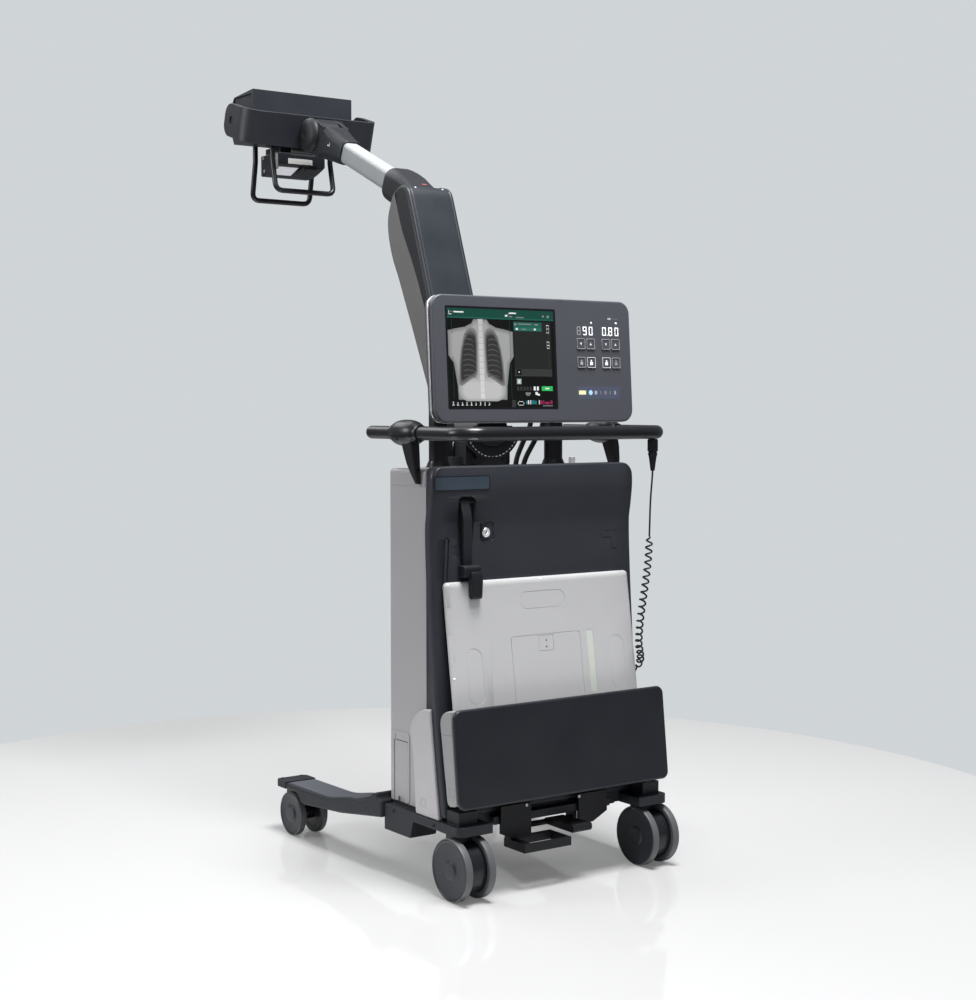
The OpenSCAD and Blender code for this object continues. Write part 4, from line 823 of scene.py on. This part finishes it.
def painted(name, patches, material, to):
    """Thin inlays in one piece, each [part, shade]."""
    obj = built(name, [part for part, _ in patches], material, to, merge=False)
    layer = obj.data.color_attributes.new("shade", "FLOAT_COLOR", "CORNER")
    shades = [shade for (_, sides), shade in patches for _ in sides]
    for face, shade in zip(obj.data.polygons, shades):
        for corner in face.loop_indices:
            layer.data[corner].color = (*shade, 1)
    return obj


def patch(x0, x1, z0, z1, shade, lift=0.0):
    """A rectangle just proud of the glass."""
    return block(x0, x1, 0.14 - lift, 0.4, z0, z1), shade


grey, dim, teal, bright_teal = (0.5, 0.52, 0.52), (0.13, 0.14, 0.14), (0.004, 0.036, 0.026), (0.012, 0.085, 0.065)
field, black, line = (0.01, 0.0105, 0.0105), (0.002, 0.002, 0.002), (0.022, 0.023, 0.023)
green, cyan, magenta = (0.02, 0.3, 0.07), (0.008, 0.11, 0.12), (0.17, 0.012, 0.05)
view = [patch(-218, 47, 31, 229, black), patch(-218, 47, 209, 229, teal, 0.04),
        patch(-218, 47, 209, 212, (0.008, 0.06, 0.044), 0.06), patch(-55.5, 39, 94, 206, field, 0.04),
        patch(-55.5, 16, 186.6, 205, (0.008, 0.062, 0.046), 0.06), patch(-54, 15, 187.4, 194, bright_teal, 0.08),
        patch(-208, -207.2, 47, 207, teal, 0.06), patch(-66, -65.2, 47, 207, teal, 0.06),
        patch(-55.5, 39, 94, 109, line, 0.06), patch(-51.5, -39.5, 97, 108, black, 0.08),
        patch(-46.8, -44, 101.6, 104, grey, 0.1), patch(-52, -40.6, 78, 89, (0.2, 0.24, 0.22), 0.04),
        patch(-49, -43.6, 80, 87, (0.4, 0.44, 0.42), 0.06), patch(10.8, 39, 64.5, 74, green, 0.04),
        patch(20, 30, 68, 70.6, grey, 0.06), patch(-66, -56.6, 31, 45.6, line, 0.04)]
view += [patch(x, x + w, z, z + h, shade, 0.1) for x, z, w, h, shade in (
    (-214, 216, 7, 1.2, grey), (-214, 216, 1.2, 8, grey), (-211, 221, 7, 1, dim), (-202, 220, 24, 2.6, grey),
    (-76, 215, 6, 3.4, grey), (-72, 218, 5, 2, dim), (-66, 221, 18, 2.6, grey), (-66, 214, 8, 2.4, dim),
    (-49, 213, 20, 2, dim), (18, 216, 5, 4, dim), (30, 215, 6, 5, dim), (-54, 198, 6, 4, dim),
    (-44, 199.6, 34, 2.2, dim), (-2, 198.6, 9, 3, dim), (-50, 188.6, 5, 4, grey), (-36, 189.4, 12, 2, dim),
    (-4, 188.8, 5, 3.6, grey), (-2, 65.4, 5, 8, grey), (-10, 65.4, 5, 8, grey), (-31, 57, 13, 4, dim),
    (-29, 54.4, 8, 2, dim), (-6, 56, 6, 6, grey), (0, 54.6, 5, 4, grey), (-31, 37, 4, 7, cyan),
    (-26, 37, 3, 8, grey), (-20, 37, 2, 8, grey), (-16, 37, 7, 8, cyan), (-8, 37, 4, 7, cyan), (2, 37, 2, 8, grey),
    (6, 37, 5, 8, magenta), (13, 37, 3, 8, magenta), (18, 37, 12, 5, magenta), (32, 37, 5, 8, magenta),
    (12, 33, 26, 1.6, dim), (-49, 34.6, 11, 1, grey), (-49, 42, 11, 1, grey), (-51.4, 36.4, 1, 4.6, grey),
    (-37, 36.4, 1, 4.6, grey))]
view += [patch(28, 35, z, z + 1, grey, 0.1) for z in (199, 192, 184, 165, 158, 152)]
view += [patch(28 + w, 29.2 + w, z, z + 6, dim, 0.08) for z in (193, 185, 159, 152) for w in (0, 5.6)]
view += [patch(32, 33, 112, 186, line, 0.06)]
view += [patch(-52 + 8 * k, -47 + 8 * k, 65, 73, line, 0.04) for k in range(5)]
for k in range(9):
    x = -213 + 11 * k
    view += [patch(x, x + 6 - 0.4 * k, 34.6, 35.8, grey, 0.1), patch(x + 2, x + 3.4, 35, 42 - k % 3, grey, 0.1),
             patch(x, x + 5.6 - 0.5 * k, 40.4 - k % 2, 41.4 - k % 2, dim, 0.1)]
screen_light = shaded("screen_light", 0.55, 0.15)
fixed(painted("screen_view", view, screen_light, monitor_at), "chassis", "screen")

# The picture on it is a made-up test pattern: a stepped plate with two wells and a wedge.
plate_shape = [(-197, 46), (-198, 74), (-203, 104), (-206, 120), (-217.5, 134), (-217.5, 184), (-200, 188), (-176, 192),
               (-160, 199), (-154, 207.6), (-122, 207.6), (-116, 199), (-100, 192), (-76, 188), (-58, 184), (-58, 134),
               (-68, 120), (-71, 104), (-76, 74), (-78, 46)]


def scaled(outline, centre, factor):
    return [tuple(c + (v - c) * factor for c, v in zip(centre, p)) for p in outline]


phantom = [(slab(scaled(plate_shape, (-138, 127), 1 - 0.03 * k), 0.1 - 0.006 * k, 0.4), (0.13 + 0.02 * k,) * 3)
           for k in range(5)]
phantom += [(slab(rounded(116 - 8 * k, 50 - 6 * k, 24 - 3 * k, -138, 68 - k), 0.07 - 0.005 * k, 0.4),
             (0.22 + 0.03 * k,) * 3) for k in range(4)]
well = [(-162, 187), (-171, 183), (-179, 170), (-186, 146), (-190, 120), (-192, 94), (-192, 80), (-186, 78),
        (-166, 90), (-153, 96), (-150, 104), (-149, 130), (-148, 158), (-149, 176), (-153, 183)]
for flip in (1, -1):
    shape = [(-138 + (x + 138) * flip, z) for x, z in well]
    middle = (-138 - 30 * flip, 130)
    phantom += [(slab(scaled(shape, middle, 1.09 - 0.05 * k), 0.05 - 0.006 * k, 0.4), (0.13 - 0.022 * k,) * 3)
                for k in range(6)]
    for k in range(9):
        z = 92 + 10.4 * k
        wide = 15.5 - 0.95 * max(k - 3, 0)
        wave = [(-wide, 2), (-wide * 0.4, 4.4), (wide * 0.5, 3), (wide, -2), (wide, -3.2), (wide * 0.5, 1),
                (-wide * 0.4, 2.4), (-wide, 0)]
        wave_line = [(middle[0] + x, z + lift) for x, lift in wave][::flip]
        phantom.append((slab(wave_line, 0.004, 0.4), (0.05, 0.052, 0.052)))
phantom += [(block(-145 + 1.4 * j, -131 - 1.4 * j, 0.002 - 0.01 * j, 0.4, 48 + 12.4 * k, 59.4 + 12.4 * k),
             (0.3 + 0.05 * j - 0.008 * k,) * 3) for k in range(13) for j in range(3)]
fixed(painted("test_picture", phantom, screen_light, monitor_at), "chassis", "screen")

segments_lit = {"0": "abcdef", "8": "abcdefg", "9": "abcdfg"}


def digit(value, x, z, shade, w=10, h=18, t=2.2):
    """A seven-segment figure."""
    spans = {"a": (0.4, w - 0.4, h - t, h), "g": (0.8, w - 0.8, (h - t) / 2, (h + t) / 2), "d": (0.4, w - 0.4, 0, t),
             "f": (0, t, h / 2 + 0.4, h - 0.6), "b": (w - t, w, h / 2 + 0.4, h - 0.6),
             "e": (0, t, 0.6, h / 2 - 0.4), "c": (w - t, w, 0.6, h / 2 - 0.4)}
    return [(block(x + a, x + b, -0.18, 0.3, z + c, z + d), shade)
            for a, b, c, d in (spans[key] for key in segments_lit[value])]


lit_white, faint = (0.85, 0.87, 0.88), (0.2, 0.205, 0.22)
readout = [part for value, x, shade in (("8", 108, faint), ("9", 124, lit_white), ("0", 140, lit_white),
                                        ("0", 176, lit_white), ("8", 193, lit_white), ("0", 210, lit_white))
           for part in digit(value, x, 182, shade)]
readout += [(slab(rounded(2.4, 2.4, 1.1, 189.5, 183.4), -0.18, 0.3), lit_white),
            (slab(rounded(4, 4, 1.9, 147, 208.5), -0.12, 0.3), lit_white),
            (slab(rounded(5, 3.4, 1.2, 214, 209.5), -0.12, 0.3), lit_white),
            (slab(rounded(9, 4, 1.2, 196, 218), -0.12, 0.3), (0.3, 0.3, 0.32))]
readout += [(slab(rounded(1.4, 1.4, 0.6, x, 218), -0.12, 0.3), faint) for x in (205, 209, 213, 217)]
key_columns, key_rows = (117, 143, 184, 210), (124.5, 163.5)
for x, turn in zip(key_columns, (-1, 1, -1, 1)):
    arrow = [(x - 3, 163.5 - 2.4 * turn), (x + 3, 163.5 - 2.4 * turn), (x, 163.5 + 2.8 * turn)]
    readout.append((slab(arrow, -1.5, -1.2), grey))
for x, shade in zip(key_columns, ((0.28, 0.28, 0.3), lit_white, lit_white, faint)):
    readout += [(block(x - 3.4, x + 3.4, -1.5, -1.2, 119.6, 126), shade),
                (block(x - 1.6, x + 1.6, -1.5, -1.2, 127, 130), shade)]
strip = [(block(104, 219, -0.12, 0.3, 48, 75), (0.05, 0.058, 0.085)),
         (slab(rounded(19, 8.4, 1.4, 117, 61.5), -0.2, 0.3), (0.6, 0.59, 0.33)),
         (slab(rounded(10, 10, 4.9, 139, 61.5), -0.2, 0.3), (0.3, 0.5, 0.85))]
strip += [(slab(rounded(w, 8, 1.8, x, 61.5), -0.2, 0.3), shade) for x, w, shade in (
    (153, 7, (0.26, 0.27, 0.3)), (166, 3, (0.13, 0.135, 0.16)), (179, 7, (0.12, 0.125, 0.15)),
    (192, 3, (0.13, 0.135, 0.16)), (205, 5, (0.22, 0.23, 0.26)))]
fixed(painted("readout", readout + strip, shaded("panel_print", 0.55, 0.3), monitor_at), "chassis", "screen")


def square_frame(tree, given):
    """A thin square outline with round corners."""
    path, band = (node(tree, "GeometryNodeCurvePrimitiveQuadrilateral", {"Width": given[side], "Height": given[side]})
                  for side in ("Side", "Line"))
    soften = node(tree, "GeometryNodeFilletCurve", {"Count": 4, "Radius": given["Corner"],
                                                    "Curve": path.outputs["Curve"]}, mode="POLY")
    return node(tree, "GeometryNodeCurveToMesh", {"Curve": soften.outputs["Curve"],
                                                  "Profile Curve": band.outputs["Curve"]}).outputs["Mesh"]


print_grey = finish("print_grey", (0.34, 0.34, 0.36), 0.4)
print_white = finish("print_white", (0.68, 0.69, 0.7), 0.4)
marked = [(143, 124.5), (184, 124.5)]
plain_keys = [(x, z) for x in key_columns for z in key_rows if (x, z) not in marked]
for name, chosen, material in (("key_outlines", plain_keys, print_grey), ("marked_outlines", marked, print_white)):
    fixed(repeated(name, [((x, -1.4, z), backwards, right) for x, z in chosen], square_frame,
                   {"Side": 21, "Line": 1.1, "Corner": 2}, material, monitor_at), "chassis", "monitor_grey")

dressed("posts", "monitor_posts", handle_gloss, 2, "dark_trim")


def bent(points, radius):
    """A path of straight runs joined by arcs."""
    pts = [Vector(p) for p in points]
    out = [pts[0]]
    for a, b, c in zip(pts, pts[1:], pts[2:]):
        u, v = (a - b).normalized(), (c - b).normalized()
        half = u.angle(v) / 2
        reach = min(radius / math.tan(half), (a - b).length / 2.1, (c - b).length / 2.1)
        start, end = b + u * reach, b + v * reach
        for k in range(11):
            t = k / 10
            out.append(start * (1 - t) ** 2 + b * 2 * t * (1 - t) + end * t * t)
    return out + [pts[-1]]


def swept(name, paths, radius, material, to=drawn, step=5):
    """Round tubes along smooth paths, or along given points when the step is 0."""
    runs = [[to @ p for p in (smooth_route(path, step) if step else path)] for path in paths]
    source = placed(name + "_path", cord_curve(name, runs, radius / 1000, 5))
    graph = bpy.context.evaluated_depsgraph_get()
    mesh = bpy.data.meshes.new_from_object(source.evaluated_get(graph), depsgraph=graph)
    bpy.data.objects.remove(source)
    mesh.materials.clear()
    mesh.materials.append(material)
    return eased(placed(name, mended(mesh, 1e-6)), 0)


fixed(swept("cables", [
    [(x, 168, 844.3), (x + lean, 167, 866), (x + 2.2 * lean + 6, 163, 896), (x + 3 * lean + 14, 157, 926),
     (x + 3.2 * lean + 20, 152, 973)] for x, lean in ((10, 5), (30, 9))], 5.5, lead_rubber),
      "chassis", "lead_black", "monitor_cables")

# Turret: a black casting that turns on the mast and holds the boom between two cheeks,
# with a dark half-round scale of white dashes at the operator's side.

cast_black = finish("cast_black", (0.0115, 0.0128, 0.0165), 0.48, specular=0.32)
boom_grey = finish("boom_grey", (0.125, 0.122, 0.124), 0.5)
dressed("turret_casting", "turret", cast_black, 3, "dark_trim", "turret_body")
dial_z, dial_y = 932, 247
dial_line = [polar(76, a - 90, 0, dial_z) for a in range(-84, 85, 6)]
fixed(built("scale_plate", [slab(dial_line, dial_y - 11, dial_y - 3)], cast_black, width=1.5),
      "turret_body", "dark_trim")
inner_line = [polar(52, a - 90, 0, dial_z + 6) for a in range(-80, 81, 8)]
fixed(built("scale_boss", [slab(inner_line, dial_y - 13.5, dial_y - 10)], disc_plastic, width=1.5),
      "turret_body", "dark_trim")
dashes = []
for a in range(-64, 65, 8):
    (x, z), (run, rise) = polar(69, a - 90, 0, dial_z), polar(1, a)
    dashes.append(((x, dial_y - 11, z), backwards, (run, 0, rise)))
fixed(built("boom_foot_front", [slab([(299, 846), (336, 846), (338, 872), (334, 885), (299, 885)], -61, 61, "X")],
            boom_grey, width=3), "turret_body", "boom_grey")
fixed(built("boom_foot_rear", [slab([(256, 846), (299, 846), (299, 893), (288, 897), (256, 897)], -61, 61, "X")],
            cast_black, width=3), "turret_body", "dark_trim")
fixed(built("turret_plate", [block(-62, 52, 247, 256, 846, 902)], cast_black, width=2), "turret_body", "dark_trim")
fixed(repeated("scale_dashes", dashes, plain_bar, {"Length": 5, "Width": 1.8, "Height": 0.8}, print_white),
      "turret_body", "dark_trim")

# Boom: a dark blue-grey rear cover with a bead along each edge over a grey spine, both
# moulded with soft edges and closed round the elbow.

boom_at = leaned(joint_at["boom_tilt"], -19.6)
boom_len = 537
boom_blue = finish("boom_blue", (0.0145, 0.0185, 0.0245), 0.42, specular=0.35)


def offset(path, distance):
    """The path moved sideways by a distance, to the right of its direction."""
    out = []
    for i, p in enumerate(path):
        ahead = Vector(path[min(i + 1, len(path) - 1)]) - Vector(path[max(i - 1, 0)])
        out.append((p[0] + ahead.y / ahead.length * distance, p[1] - ahead.x / ahead.length * distance))
    return out


def flat_route(points, step):
    return [(p.y, p.z) for p in smooth_route([(0, *p) for p in points], step)]


top_end = boom_len + 30
rear_line = flat_route([(-34, 120), (-34, 200), (-34, 330), (-34, 440), (-34, 510), (-33, boom_len + 4),
                        (-28, boom_len + 17), (-19, boom_len + 26), (-6, top_end), (6, top_end),
                        (17.5, top_end - 1)], 7)
seam_line = flat_route([(17.5, top_end - 1), (17.4, boom_len), (17, boom_len - 62), (9, boom_len - 110),
                        (1, boom_len - 157), (-12, boom_len - 255), (-24, 180), (-34, 120)], 10)[1:-1]
front_line = flat_route([(18, top_end - 1.5), (34, boom_len + 20), (48, boom_len + 7), (66, boom_len - 16),
                         (76, boom_len - 46), (79.5, boom_len - 82), (78, boom_len - 118), (71, boom_len - 160),
                         (64, boom_len - 221), (56, boom_len - 289), (44, 130), (33, 22), (29, -4), (20, -22),
                         (0, -33), (-20, -26), (-32, -8), (-34, 20), (-34, 70), (-34, 119)], 8)
edge_profile = [(61.5, 10), (61.5, 7), (60.9, 4.4), (59.6, 2.4), (57.8, 1), (56, 0.4)]
bead_profile = edge_profile + [(54, 0.2), (52.6, 0.7), (51.8, 1.7), (51, 1.7), (50.2, 0.7), (49, 0.1), (46, 0)]
plain_profile = edge_profile + [(54, 0.1), (50, 0)]


def edged(name, outer, inner, profile, material):
    """A moulding between an outer line with shaped edges and an inner joint line."""
    rings = [[(x, *p) for p in offset(outer, inset)] + [(x, *p) for p in inner] for x, inset in profile]
    rings += [[(-x, y, z) for x, y, z in each] for each in reversed(rings)]
    return built(name, [skin(rings)], material, boom_at)


cover = edged("boom_rear", rear_line, seam_line, bead_profile, boom_blue)
spine_seam = [(p[0] + 0.4, p[1]) for p in reversed(seam_line)]
spine = edged("boom_front", front_line, spine_seam, plain_profile, boom_grey)
slot_shape = [polar(31, a, 0, boom_len) for a in range(140, 213, 8)] + [
    (-29, boom_len - 46), (40, boom_len - 120), (120, boom_len - 160), (140, boom_len + 80),
                    (-24, boom_len + 80)]
for piece in (cover, spine):
    carved(piece, [slab(slot_shape, -41, 41, "X")], boom_at)
cover.data.materials.append(cast_black)
for face in cover.data.polygons:
    if abs(face.center.x) > 0.0585:
        face.material_index = 1
fixed(cover, "boom", "boom_dark", "boom_cover")
fixed(spine, "boom", "boom_grey", "boom_spine")
fixed(screws("elbow_screws", [((x, -29.5, boom_len + 16), (0, -0.86, 0.5), right) for x in (-36, 36)], 2.2, 2,
             lock_steel, boom_at), "boom", "lock_metal")

# Upper arm: a black root at the elbow, a pale painted tube, and a sleeve whose cheeks
# hold the wrist under two domed caps.

arm_at = leaned(joint_at["elbow"], 24)


def cross(w, h, r, y, z=0.0):
    """A round-cornered ring across the arm."""
    return [(p, y, q) for p, q in rounded(w, h, r, 0, z)]


root = built("arm_root_cover", [skin([
    cross(56, 30, 10, -24), cross(70, 46, 14, -17), cross(77, 55, 14, -8), cross(78, 56, 12, 4), cross(78, 57, 12, 20),
    cross(79, 63, 14, 40, 0.5), cross(80, 72, 17, 62, 1), cross(80, 76, 20, 84, 1), cross(79, 77, 23, 104, 0.6),
    cross(77, 76, 24, 116, 0.3), cross(72, 72, 24, 124), cross(66, 67, 22, 129), cross(58, 60, 18, 132),
    cross(50, 54, 14, 133)])], cast_black, arm_at)
pin_half = 53
hinge_pin = turned("elbow_pin", [[(0, -pin_half), (9.9, -pin_half), (9.9, pin_half), (0, pin_half)]], (0, 0, 0),
                   cast_black, 32, arm_at)
fixed(root, "arm", "head_dark", "arm_root")
fixed(hinge_pin, "arm", "head_dark")
red_mark = finish("red_mark", (0.42, 0.1, 0.07), 0.4)
fixed(built("arm_mark", [slab(rounded(13, 7, 2, 12, 30), 29, 30.3, "Z")], red_mark, arm_at, 0.3), "arm", "head_dark")
arm_len = 492
tube_paint = finish("tube_paint", (0.27, 0.285, 0.295), 0.6, specular=0.3)
fixed(built("arm_tube_profile", [skin([cross(44, 50, 12, y) for y in (118, 424)])], tube_paint, arm_at),
      "arm", "tube_grey", "arm_tube")
sleeve = built("arm_sleeve_cover", [skin([
    cross(46, 52, 12, 352), cross(52, 57, 16, 352.6), cross(55, 60, 18, 355), cross(58, 63, 20, 362),
    cross(64, 70, 22, 392), cross(69, 76, 20, 416), cross(71, 79, 16, 430), cross(71, 79, 12, 437.6)])],
               cast_black, arm_at)
cheeks = [slab([(436, 38), (arm_len - 10, 41), (arm_len + 16, 38), (arm_len + 36, 20), (arm_len + 42, 0),
                (arm_len + 36, -20), (arm_len + 16, -38), (arm_len - 10, -41), (436, -38)], s * 26, s * 36, "X")
          for s in (-1, 1)]
fixed(built("sleeve_cheeks", cheeks, cast_black, arm_at, 2), "arm", "dark_trim")
fixed(sleeve, "arm", "dark_trim", "arm_sleeve")
dome = [(0, 36), (41.6, 36), (41.6, 38), (40.4, 42), (37, 46.4), (31.6, 49.6), (25, 51.6), (17, 52.8), (11, 53.2),
        (9.4, 53), (8.4, 52), (0, 51.6)]
cap_black = finish("cap_black", (0.01, 0.011, 0.0135), 0.52, specular=0.3)
fixed(turned("wrist_caps", [dome, [(p, -q) for p, q in reversed(dome)]], (0, arm_len, 0), cap_black, 64, arm_at),
      "arm", "dark_trim")
fixed(built("sleeve_mark", [block(398, 399.4, -33.9, -32.4, 2, 9, "X"), block(398, 406, -34.6, -32.6, 1, 2.4, "X")],
            print_white, arm_at), "arm", "dark_trim")

# Wrist and yoke: a black hub that pitches, and a broad band bent to a U that rolls on
# it, with a round cover over each of the head's pivots.

dressed("wrist_knuckle", "wrist_hub", cast_black, 2, "dark_trim", "wrist")
head_black = finish("head_black", (0.016, 0.018, 0.0235), 0.4, specular=0.35)
band = from_cad("yoke_band", "yoke", head_black, 3, 4)
fixed(band, "yoke_body", "head_dark", "yoke")

# Tube head: the tube's housing between the yoke's arms, with the collimator under it,
# its vent, blank label and light panel, and two grab handles of bent tube.

head_at = leaned(joint_at["head_tilt"], 0)
housing = from_cad("tube_case", "tube_housing", head_black, 6, 4)
carved(housing, [slab([(-18, 8), (77, 8), (77, 68), (-18, 68)], s * 137, s * 142, "X") for s in (-1, 1)], head_at)
fixed(housing, "head", "head_core", "tube_housing")
colli = from_cad("collimator_case", "collimator", head_black, 3)
carved(colli, [slab([(-30, -94), (-22, -97), (48, -120.8), (48, -132), (-30, -132)], -90, 90, "X")], head_at)
fixed(colli, "head", "head_dark", "collimator")
fixed(built("collimator_collar", [slab(rounded(118, 84, 10, 0, 28), -69, -53, "Z")], cast_black, head_at, 1.5),
      "head", "head_dark")


def hex_hole_shade(tree, given):
    """A six-sided perforation, drawn as a dark disc: painted shade in place of the hole."""
    return node(tree, "GeometryNodeMeshCylinder", {
        "Vertices": 6, "Radius": given["Radius"], "Depth": given["Height"]}).outputs["Mesh"]


vent_grey = finish("vent_grey", (0.06, 0.062, 0.068), 0.5)
fixed(built("vent_grille", [slab(rounded(70, 20, 1.5, 3, -64), -20.8, -19)], vent_grey, head_at, 0.3),
      "head", "head_dark")
# The vent's holes are dark hexagons laid on the grille: painted shade, not openings.
hole_shade_spots = [((-27 + 6 * k + (3 if row % 2 else 0), -20.9, -57.8 - 5.2 * row), backwards, right)
         for row in range(3) for k in range(10)]
fixed(repeated("vent_hole_shades", hole_shade_spots, hex_hole_shade, {"Radius": 2.4, "Height": 0.3}, dark_inlay_and_painted_shade, head_at), "head", "head_dark")
label_white = finish("label_white", (0.72, 0.72, 0.71), 0.4, grain=0.0005, cloud=0.03)
fixed(built("head_label", [slab(rounded(69, 13.5, 1.2, -5.5, -88.7), -20.5, -19)], label_white, head_at, 0.2),
      "head", "panel_silver")
fixed(built("collimator_strip", [slab(rounded(7, 40, 1, -69.2, -90), -16, -8)], trim_bright, head_at, 0.5),
      "head", "lock_metal")
light_panel = finish("light_panel", (0.8, 0.81, 0.84), 0.2, glow=(0.8, 0.82, 0.88, 0.16))
slope = math.atan2(22.8, 65)
under = head_at @ Matrix.Translation((0, -20, -97.6)) @ Matrix.Rotation(-slope, 4, "X")
fixed(built("beam_window", [slab([(-58, 14), (-4, 14), (-4, 58), (-58, 58)], -0.9, 1, "Z")], light_panel, under, 0.3),
      "head", "screen")
clip = [slab([(0, -4), (58, -4), (58, 34), (0, 34)], -8, 1, "Z"),
        slab([(6, -12), (34, -12), (34, 4), (6, 4)], -15, -3, "Z")]
fixed(built("beam_clip", clip, tip_plastic, under, 1.5), "head", "head_dark")
fixed(screws("collimator_screws", [((-66, y, z), left, up) for y, z in ((61, -76), (56, -108), (8, -104))], 4, 2.6,
             screw_zinc, head_at), "head", "head_dark")
grab_paths = [bent([(82, near, end_z), (82, near, -86), (82, far, low_z), (-82, far, low_z), (-82, near, -86),
                    (-82, near, end_z)], 20)
              for near, far, low_z, end_z in ((-16, -34, -165, -54.3), (74, 92, -178, -47))]
fixed(swept("grab_bars", grab_paths, 6.5, handle_gloss, head_at, 0), "head", "handle_black", "grab_handles")

low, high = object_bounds()
